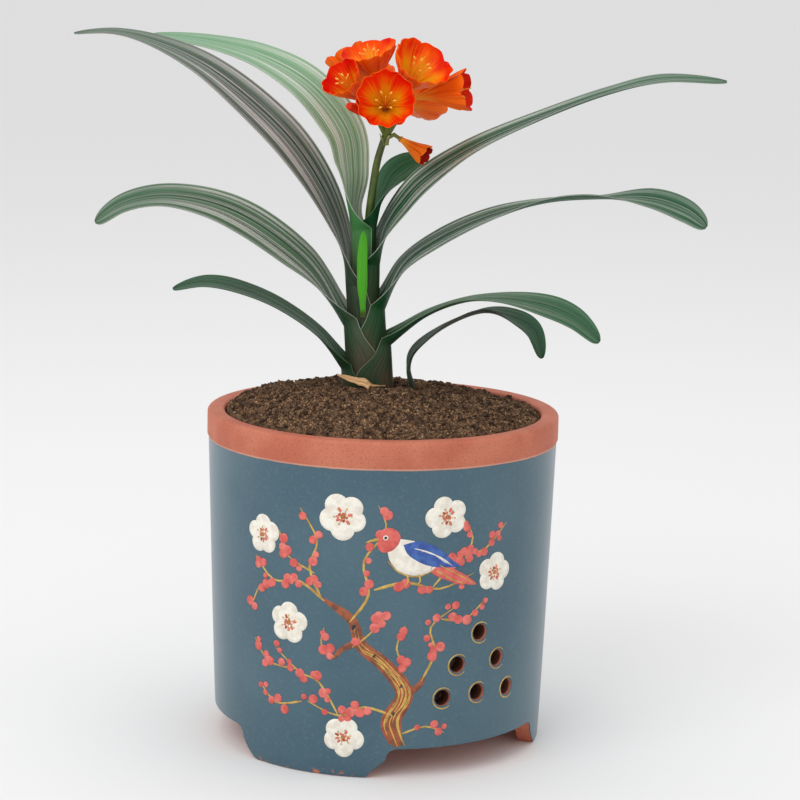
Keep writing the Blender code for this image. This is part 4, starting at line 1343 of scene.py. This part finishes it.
    def scatter(self, name: str, finish: bpy.types.Material, count: int, sizes: tuple[float, float],
                seed: int) -> bpy.types.Object:
        """Scatter rough balls on the open part of the crust.

        Args:
            name: The new piece's name.
            finish: The grains' material.
            count: How many candidate places there are.
            sizes: The smallest and largest radius, in millimetres.
            seed: The fixed random seed.

        Returns:
            One plain mesh object.
        """
        tree = bpy.data.node_groups.new(name, "GeometryNodeTree")
        add_sockets(tree, "INPUT", {"Ground": GEOMETRY, "Count": WHOLE, "Smallest": FLOAT, "Largest": FLOAT,
                                    "Seed": WHOLE})
        add_sockets(tree, "OUTPUT", {"Grains": GEOMETRY})
        n = Nodes(tree)
        given = n.step("NodeGroupInput", {})
        ground, dice = given["Ground"], given["Seed"]
        face_area = n.step("GeometryNodeInputMeshFaceArea", {})[0]
        area = n.step("GeometryNodeAttributeStatistic", {"Geometry": ground, 2: face_area}, domain="FACE")
        density = n.math("DIVIDE", given["Count"], area["Sum"])
        spots = n.step("GeometryNodeDistributePointsOnFaces",
                       {"Mesh": ground, "Density": density, "Seed": dice})
        ball = n.step("GeometryNodeMeshIcoSphere", {"Subdivisions": 1})
        rough = (self.roughen,) * 3
        wobble = n.step("FunctionNodeRandomValue", {0: [-r for r in rough], 1: rough},
                        data_type="FLOAT_VECTOR")
        lump = n.step("GeometryNodeSetPosition", {"Geometry": ball["Mesh"], "Offset": wobble[0]})
        turn = n.step("FunctionNodeRandomValue", {1: (math.tau,) * 3, "Seed": dice}, data_type="FLOAT_VECTOR")
        size = n.step("FunctionNodeRandomValue", {2: given["Smallest"], 3: given["Largest"], "Seed": dice},
                      data_type="FLOAT")
        grains = n.step("GeometryNodeInstanceOnPoints",
                        {"Points": spots["Points"], "Instance": lump["Geometry"], "Rotation": turn[0],
                         "Scale": size[1]})
        real = n.step("GeometryNodeRealizeInstances", {"Geometry": grains["Instances"]})
        dressed = n.step("GeometryNodeSetMaterial", {"Geometry": real["Geometry"], "Material": finish})
        n.step("NodeGroupOutput", {"Grains": dressed["Geometry"]})
        bed = self.open_ground()
        values = {"Count": count, "Smallest": sizes[0] * MM, "Largest": sizes[1] * MM, "Seed": seed}
        scatter = bed.modifiers.new("grains", "NODES")
        scatter.node_group = tree
        for item in tree.interface.items_tree:
            if item.in_out == "INPUT" and item.name in values:
                scatter[item.identifier] = values[item.name]
        bed.update_tag()
        mesh = evaluated_mesh(bed, scatter)
        bpy.data.objects.remove(bed, do_unlink=True)
        mesh.name = name
        mesh.materials.clear()
        mesh.materials.append(finish)
        mesh.polygons.foreach_set("material_index", [0] * len(mesh.polygons))
        return link_object(name, mesh)

    def open_ground(self) -> bpy.types.Object:
        """Copy the part of the crust that lies open, without the wells and the edge."""
        work = bmesh.new()
        work.from_mesh(bpy.data.objects["soil_crust"].data)
        hidden = []
        for face in work.faces:
            spot = face.calc_center_median() / MM
            radius = math.hypot(spot.x, spot.y)
            shut = face.normal.z < 0.5 or radius > self.open_radius or spot.z < self.open_above
            for cx, cy, half_x, half_y, _ in self.wells:
                across = (spot.x - cx) / (half_x + self.well_margin)
                deep = (spot.y - cy) / (half_y + self.well_margin)
                shut = shut or math.hypot(across, deep) < 1.0
            if shut:
                hidden.append(face)
        bmesh.ops.delete(work, geom=hidden, context="FACES")
        mesh = bpy.data.meshes.new("open_ground")
        work.to_mesh(mesh)
        work.free()
        return link_object("open_ground", mesh)

    def build(self) -> None:
        """Build the crust and the grains on it."""
        place_piece(self.crust(), "soil", ("soil",))
        self.grains()


@dataclass
class DrySheath:
    """The papery scrap of an old leaf base, curled on the soil before the stem."""

    rows: int = 40
    width: int = 14
    half_thick: float = 0.3

    def point(self, share: float, across: float) -> Vector:
        """Return a point of the scrap's middle surface."""
        half = max(0.07, min(share / 0.55, (0.8 - share) / 0.25))
        rise = 0.8 + (8.4 - 5.0 * share) * (1.0 - smooth_step((share - 0.56) / 0.22))
        x = -37.0 + 38.0 * share + 4.0 * across * half
        y = -20.5 - 9.0 * across * half
        curl = 0.7 * math.sin(math.pi * across) * half + 0.4 * math.sin(11.0 * share + 3.0 * across)
        return Vector((x, y, SOIL.height(x, y) + 0.9 + rise * (1.0 - half * across) + curl))

    def build(self) -> None:
        """Build the scrap as a thin closed sheet with a ribbed, papery skin."""
        upper, lower, pattern = [], [], []
        for r in range(self.rows + 1):
            share = r / self.rows
            for c in range(self.width + 1):
                across = c / self.width
                ragged = 0.05 * math.sin(37.0 * share) * across
                middle = self.point(share, across + ragged)
                upper.append(middle + UP * self.half_thick)
                lower.append(middle - UP * self.half_thick)
                pattern.append((2.0 * across - 1.0, 0.42 * share))
        shape = Shape()
        shape.sheet(upper, lower, self.width + 1, pattern)
        material, n, shader = new_material("dry_papery_sheath", 0.75)
        across, along, _ = n.split(n.pattern())
        ribs = n.ribs(across, n.times(along, 4.0), 5.0)
        tan = n.mix(ribs["Broad"], Colour(196, 148, 100), Colour(232, 190, 140))
        tan = n.mix(n.times(ribs["Fine"], 0.6), tan, Colour(150, 104, 66))
        n.wear(shader, Base_Color=tan, Normal=n.bump(ribs["Height"], 0.6, 0.0004))
        place_piece(shape.piece("dry_sheath_scrap", material), "dry_leaf", ("dry_sheath",))


SOIL = SoilBed()


# Flowers

@dataclass(frozen=True)
class PetalFinish:
    """Colours of a bloom: its throat, its middle, its rim and its outside."""

    name: str
    throat: Colour = Colour(232, 168, 14)
    middle: Colour = Colour(252, 130, 4)
    outer: Colour = Colour(244, 76, 0)
    rim: Colour = Colour(226, 30, 0)
    back: Colour = Colour(244, 104, 6)
    reach: float = 0.66

    @cache
    def material(self) -> bpy.types.Material:
        """Return the petal material, with yellow tongues that run up from the throat."""
        material, n, shader = new_material(self.name, 0.42, 0.12)
        across, along, back = n.sheet()
        ribs = n.ribs(across, along, 4.0)
        middle = n.rest(n.rise(n.math("ABSOLUTE", across), 0.0, 0.7))
        streak = n.times(n.minus(ribs["Fine"], 0.5), 0.16)
        lift = n.plus(n.times(middle, 0.16), streak)
        level = n.minus(along, lift)
        skin = n.mix(n.rise(level, self.reach - 0.22, self.reach + 0.06), self.throat, self.middle)
        skin = n.mix(n.rise(level, self.reach - 0.06, self.reach + 0.24), skin, self.outer)
        patches = n.rise(n.noise(n.here(), 38.0, 2.0), 0.42, 0.62)
        blush = n.times(patches, n.rise(along, 0.45, 0.95))
        skin = n.mix(blush, skin, self.rim)
        edge = n.rise(n.math("ABSOLUTE", across), 0.86, 1.0)
        skin = n.mix(n.times(edge, 0.45), skin, self.middle)
        outside = n.mix(n.rise(along, 0.05, 0.55), Colour(236, 150, 40), self.back)
        outside = n.mix(n.times(ribs["Fine"], 0.4), outside, self.rim)
        n.wear(shader, Base_Color=n.mix(back, skin, outside),
               Roughness=n.plus(0.42, n.times(ribs["Fine"], 0.14)),
               Normal=n.bump(ribs["Height"], 0.35, 0.0004))
        return material


@dataclass
class Bloom:
    """One flower: six broad overlapping tepals that flare from a narrow tube."""

    name: str
    base: tuple
    mouth: tuple
    radius: float
    finish: PetalFinish
    rows: int = 18
    columns: int = 14
    wall: float = 0.55
    throat: float = 5.4
    ruffle: float = 1.3
    bow: float = -0.55
    midrib: float = 0.3
    inner_sink: float = -0.75
    stamens_from: float = 12.0

    def axes(self) -> tuple[float, Vector, Vector, Vector]:
        """Return the bloom's length and its three directions."""
        way = Vector(self.mouth) - Vector(self.base)
        length = way.length
        way.normalize()
        guide = UP if abs(way.z) < 0.9 else Vector((0.0, 1.0, 0.0))
        first = (guide - way * guide.dot(way)).normalized()
        return length, way, first, way.cross(first)

    def flare(self, share: float) -> float:
        """Return the funnel's radius along its length."""
        tube = 2.4 + 3.0 * share
        return tube + (self.radius - self.throat) * smooth_step((share - 0.06) / 0.94) ** 0.85

    def tepal(self, number: int, dice: random.Random) -> tuple[list, list, list]:
        """Return one tepal's inner points, outer points and pattern."""
        length, way, first, second = self.axes()
        is_inner = number % 2
        centre = math.radians(60.0 * number + dice.uniform(-2.0, 2.0))
        facing = max(0.0, -(first * math.cos(centre) + second * math.sin(centre)).y) * max(0.0, way.z)
        droop = dice.uniform(0.97, 1.0) * (1.0 - 0.16 * facing)
        phase = dice.uniform(0.0, math.tau)
        inner, outer, pattern = [], [], []
        for r in range(self.rows + 1):
            t = r / self.rows
            half = math.radians(33.0 + (9.0 if is_inner else 4.0) * smooth_step((t - 0.2) / 0.5))
            for c in range(self.columns + 1):
                q = 2.0 * c / self.columns - 1.0
                share = t * droop * (1.0 - 0.15 * abs(q) ** 2.6)
                angle = centre + q * half
                ray = first * math.cos(angle) + second * math.sin(angle)
                here, ahead = self.flare(share), self.flare(share + 0.02)
                slope = Vector((ahead - here, 0.02 * length, 0.0)).normalized()
                normal = ray * slope.y - way * slope.x
                ruffle = self.ruffle * t * t * math.sin(2.6 * math.pi * q + phase) * self.radius / 20.0
                bow = self.bow * (1.0 - q * q) * math.exp(-((t - 0.55) / 0.3) ** 2)
                rib = self.midrib * math.exp(-(q / 0.09) ** 2) * smooth_step(t / 0.3)
                layer = self.inner_sink if is_inner else 0.0
                sunk = layer * smooth_step((t - 0.1) / 0.4) + ruffle * 0.6 + bow + rib
                middle = Vector(self.base) + way * (length * share) + ray * here
                middle += normal * (sunk - 0.45)
                inner.append(middle - normal * (0.5 * self.wall))
                outer.append(middle + normal * (0.5 * self.wall))
                pattern.append((q, t))
        return inner, outer, pattern

    def build(self) -> None:
        """Build the six tepals as one piece in place of the CAD bloom."""
        dice = random.Random(self.name)
        shape = Shape()
        for number in range(6):
            inner, outer, drawn = self.tepal(number, dice)
            shape.sheet(inner, outer, self.columns + 1, drawn, Face.LOWER)
        place_piece(shape.piece(self.name + "_tepals", self.finish.material(), 75.0), "petal", (self.name,))
        if self.radius > self.stamens_from:
            self.build_stamens()

    def anther(self, share: float) -> tuple[float, float]:
        """Return an anther's half widths along its length."""
        half = 0.22 + 0.5 * math.sin(math.pi * (0.08 + 0.84 * share))
        return half, half

    def build_stamens(self) -> None:
        """Build six filaments with anthers and the longer style, as one piece."""
        length, way, first, second = self.axes()
        dice = random.Random(self.name + "stamens")
        start = Vector(self.base) + way * 2.3
        shape = Shape()
        for number in range(6):
            turn = math.radians(60.0 * number + 30.0 + dice.uniform(-8.0, 8.0))
            ray = first * math.cos(turn) + second * math.sin(turn)
            reach = dice.uniform(0.9, 1.0)
            knots = [start + way * 0.6 + ray * 0.6, start + way * (0.32 * length) + ray * 1.6,
                     start + way * (0.62 * length * reach) + ray * (0.16 * self.radius + 0.8),
                     start + way * (0.84 * length * reach) + ray * (0.3 * self.radius)]
            shape.tube(knots, lambda s: (0.42 - 0.12 * s,) * 2, 8, 14, 0.3)
            tip = knots[-1]
            lean = (ray * 0.7 + way * 0.7 + second * dice.uniform(-0.5, 0.5)).normalized()
            anther = [tip - lean * 1.5, tip, tip + lean * 1.5]
            shape.tube(anther, self.anther, 10, 8, 0.8)
        style = [start + way * 0.5, start + way * (0.5 * length), start + way * (0.98 * length) + first * 1.2]
        shape.tube(style, lambda s: (0.5 - 0.1 * s,) * 2, 8, 12, 0.1)
        node = self.name.replace("bloom", "stamens")
        place_piece(shape.piece(self.name + "_stamens", stamen_finish()), "stamen", (node,))


@cache
def stamen_finish() -> bpy.types.Material:
    """Return the yellow of the filaments, paler on the anthers."""
    material, n, shader = new_material("stamen_yellow", 0.6)
    shade, along, _ = n.split(n.pattern())
    stem = n.mix(along, Colour(222, 132, 16), Colour(240, 166, 40))
    n.put(shader.inputs["Base Color"], n.mix(n.rise(shade, 0.5, 0.6), stem, Colour(240, 186, 66)))
    return material


OPEN_PETAL = PetalFinish("petal_orange")
FRONT_PETAL = PetalFinish("petal_red", middle=Colour(240, 104, 4), throat=Colour(226, 156, 16),
                          outer=Colour(236, 38, 0), rim=Colour(216, 8, 0), reach=0.58)
HALF_OPEN_PETAL = PetalFinish("petal_half_open", Colour(228, 150, 30), Colour(240, 110, 16),
                              Colour(196, 40, 6), Colour(176, 22, 4), Colour(240, 116, 18), 0.2)


@dataclass
class FlowerHead:
    """The stalk with its pedicels, the blooms with their stamens, and the closed bud."""

    stalk: tuple = ((-7, 0, 262.4), (-9.8, 0, 300), (-13.6, 0, 351), (-14.8, 0, 391), (-14, 0, 419),
                    (-11, 0, 446), (-8, 0, 464), (-2, 0, 484))
    stalk_half: tuple = (4.3, 3.4)
    bud: tuple = ((-12, -22, 499), (-31, -47, 507), 4.2)

    def blooms(self) -> list:
        """Return every bloom with its base, the middle of its mouth and its mouth's radius."""
        return [
            Bloom("bloom_1", (-9, -4, 519), (-18, -10, 551), 23.0, OPEN_PETAL),
            Bloom("bloom_2", (9, -12, 514), (26, -34, 543), 24.0, OPEN_PETAL),
            Bloom("bloom_3", (-3, -24, 503), (-3, -58, 514), 23.0, FRONT_PETAL),
            Bloom("bloom_4", (-20, -14, 508), (-39, -34, 529), 17.0, FRONT_PETAL),
            Bloom("bloom_5", (-19, 12, 514), (-37, 28, 546), 18.0, OPEN_PETAL),
            Bloom("bloom_6", (20, -2, 512), (62, -10, 519), 17.0, FRONT_PETAL),
            Bloom("bloom_7", (9, 9, 515), (34, 22, 544), 20.0, OPEN_PETAL),
            Bloom("bloom_8", (10, -6, 479), (30, -16, 467), 9.0, HALF_OPEN_PETAL),
            Bloom("bloom_9", (-4, 26, 506), (-12, 60, 522), 19.0, OPEN_PETAL),
            Bloom("bloom_10", (12, 26, 502), (30, 60, 510), 21.0, FRONT_PETAL),
        ]

    def build(self) -> None:
        """Build the blooms, the stalk and the bud."""
        blooms = self.blooms()
        for bloom in blooms:
            bloom.build()
        self.build_stalk([(b.base, b.mouth) for b in blooms] + [self.bud[:2]])
        self.build_bud()

    def build_stalk(self, heads: list) -> None:
        """Build the stalk, one pedicel with its ovary for each head, and the spathe's bracts."""
        shape = Shape()
        half_x, half_y = self.stalk_half
        shape.tube(self.stalk, lambda s: (half_x * (1.0 - 0.4 * s), half_y * (1.0 - 0.15 * s)), 24, 60, 0.0)
        top = Vector(self.stalk[-1])
        for base, mouth in heads:
            base = Vector(base)
            way = (Vector(mouth) - base).normalized()
            tip = base - way * 0.3
            route = [top - UP * 5.0, top + (base - top) * 0.5 + UP, tip - way * 7.0, tip - way * 2.1, tip]
            shape.tube(route, self.pedicel, 12, 24, 0.5)
        material, n, shader = new_material("stalk_olive", 0.42)
        shade, along, _ = n.split(n.pattern())
        place = n.here()
        olive = n.mix(n.rise(along, 0.55, 0.95), Colour(58, 82, 20), Colour(60, 72, 18))
        olive = n.mix(n.rise(n.noise(place, 120.0, 3.0), 0.45, 0.7), olive, Colour(84, 100, 30))
        young = n.mix(n.rise(along, 0.7, 1.0), Colour(92, 104, 32), Colour(190, 116, 34))
        n.wear(shader, Base_Color=n.mix(n.rise(shade, 0.2, 0.4), olive, young),
               Normal=n.bump(n.noise(place, 260.0, 3.0), 0.2, 0.0003))
        place_piece(shape.piece("flower_stalk", material), "stalk", ("scape",))
        self.build_bracts()

    def pedicel(self, share: float) -> tuple[float, float]:
        """Return a pedicel's half widths, which swell at the ovary under its flower."""
        half = 1.45 + 1.15 * math.exp(-((share - 0.9) / 0.11) ** 2)
        return half, half

    def build_bracts(self) -> None:
        """Build the pale papery bracts that clasp the pedicels at the stalk's top."""
        material, n, shader = new_material("pale_bract", 0.6)
        across, along, _ = n.split(n.pattern())
        ribs = n.ribs(across, along, 5.0)
        pale = n.mix(ribs["Broad"], Colour(186, 178, 116), Colour(214, 208, 170))
        n.wear(shader, Base_Color=n.mix(n.rise(along, 0.5, 1.0), Colour(120, 126, 60), pale),
               Normal=n.bump(ribs["Height"], 0.4, 0.0003))
        top = Vector(self.stalk[-1]) - Vector((1.0, 0.0, 6.0))
        shape = Shape()
        for turn, tall in ((200.0, 9.0), (320.0, 8.0), (80.0, 9.0)):
            upper, lower, drawn = [], [], []
            for r in range(15):
                t = r / 14.0
                for c in range(9):
                    q = c / 4.0 - 1.0
                    half = math.radians(56.0) * (1.0 - 0.85 * t ** 1.6)
                    angle = math.radians(turn) + q * half
                    ray = Vector((math.cos(angle), math.sin(angle), 0.0))
                    radius = 2.9 + 1.5 * t * t
                    place = top + ray * radius + Vector((0.0, 0.0, tall * t - 4.0))
                    upper.append(place + ray * 0.2)
                    lower.append(place - ray * 0.2)
                    drawn.append((q, t))
            shape.sheet(upper, lower, 9, drawn)
        place_piece(shape.piece("stalk_bracts", material), "stalk")

    def build_bud(self) -> None:
        """Build the closed bud with the seams of its tepals."""
        start, end, radius = Vector(self.bud[0]), Vector(self.bud[1]), self.bud[2]

        def halves(share: float) -> tuple[float, float]:
            half = radius * (0.4 + 0.6 * math.sin(math.pi * (0.12 + 0.75 * share)))
            return half, half

        shape = Shape()
        shape.tube([start, start + (end - start) * 0.5, end], halves, 30, 28)
        material, n, shader = new_material("bud_red", 0.4, 0.12)
        around, along, _ = n.split(n.pattern())
        seam = n.math("ABSOLUTE", n.math("SINE", n.times(around, 3.0 * math.pi)))
        red = n.mix(n.rise(along, 0.0, 0.5), Colour(226, 120, 30), Colour(206, 44, 8))
        n.wear(shader, Base_Color=n.mix(n.rise(seam, 0.0, 0.2), Colour(150, 20, 6), red),
               Normal=n.bump(n.rise(seam, 0.0, 0.35), 0.5, 0.0004))
        place_piece(shape.piece("closed_bud", material), "petal", ("bud",))


def dress_rootstock() -> None:
    """Give the hidden rootstock, which keeps its CAD mesh, a fleshy finish."""
    material, n, shader = new_material("rootstock_flesh", 0.7)
    flesh = n.mottle(n.here(), Colour(190, 172, 134), Colour(164, 140, 104), Colour(120, 96, 70),
                     (120.0, 900.0), 0.4)
    n.wear(shader, Base_Color=flesh["Colour"])
    for piece in bpy.data.objects:
        if piece.type == "MESH" and piece.name.startswith("rootstock"):
            piece.data.materials.clear()
            piece.data.materials.append(material)


# Stage

@dataclass
class Studio:
    """A plain pale floor, soft lights and the camera at the photograph's angle."""

    floor_size: float = 240.0
    floor_drop: float = -0.2
    aim: tuple = (0.0, 0.0, 0.25)
    camera_place: tuple = (0.0, -1.9665, 0.6285)
    camera_tilt: float = 79.5
    camera_roll: float = 1.19
    lens: float = 112.64
    shift: tuple = (0.021, 0.01075)

    def build(self) -> None:
        """Build the floor, the lights, the world and the camera."""
        self.build_floor()
        self.build_lights()
        self.build_camera()

    def build_floor(self) -> None:
        """Lay a wide pale floor under the feet."""
        material, n, shader = new_material("pale_floor", 0.9)
        n.wear(shader, Base_Color=Colour(236, 236, 236))
        half = 0.5 * self.floor_size / MM
        corners = [(half * x, half * y, self.floor_drop) for x, y in ((-1, -1), (1, -1), (1, 1), (-1, 1))]
        floor = make_piece("floor", corners, [(0, 1, 2, 3)], material)

    def build_lights(self) -> None:
        """Hang the large soft lights and set a near-white world."""
        lights = (("key", (-1.5, -2.0, 2.3), 2.2, 32.0), ("fill", (2.0, -1.7, 1.3), 2.2, 2.0),
                  ("top", (0.2, 0.6, 2.9), 2.4, 12.0))
        for name, place, size, power in lights:
            lamp = bpy.data.lights.new(name, "AREA")
            lamp.energy, lamp.size = power, size
            light = link_object(name, lamp)
            light.location = place
            way = Vector(self.aim) - Vector(place)
            light.rotation_euler = way.to_track_quat("-Z", "Y").to_euler()
        world = bpy.data.worlds.new("studio")
        world.use_nodes = True
        sky = world.node_tree.nodes["Background"].inputs
        sky["Color"].default_value = (1.0, 1.0, 1.0, 1.0)
        sky["Strength"].default_value = 0.86
        bpy.context.scene.world = world
        bpy.context.scene.view_settings.view_transform = "Standard"

    def build_camera(self) -> None:
        """Set the camera where the photograph was taken from."""
        data = bpy.data.cameras.new("camera")
        data.sensor_width = 36.0
        data.lens = self.lens
        data.shift_x, data.shift_y = self.shift
        camera = link_object("camera", data)
        turn = Matrix.Rotation(math.radians(self.camera_tilt), 4, "X")
        turn = turn @ Matrix.Rotation(math.radians(self.camera_roll), 4, "Z")
        camera.matrix_world = Matrix.Translation(self.camera_place) @ turn
        bpy.context.scene.camera = camera


def main() -> None:
    """Build every sub-assembly and finish the frame."""
    logging.basicConfig(level=logging.INFO, format="%(name)s: %(message)s")
    POT.build()
    Ornament().build()
    SOIL.build()
    DrySheath().build()
    dress_rootstock()
    LeafFan().build()
    FlowerHead().build()
    Studio().build()


if __name__ == "__main__":
    main()
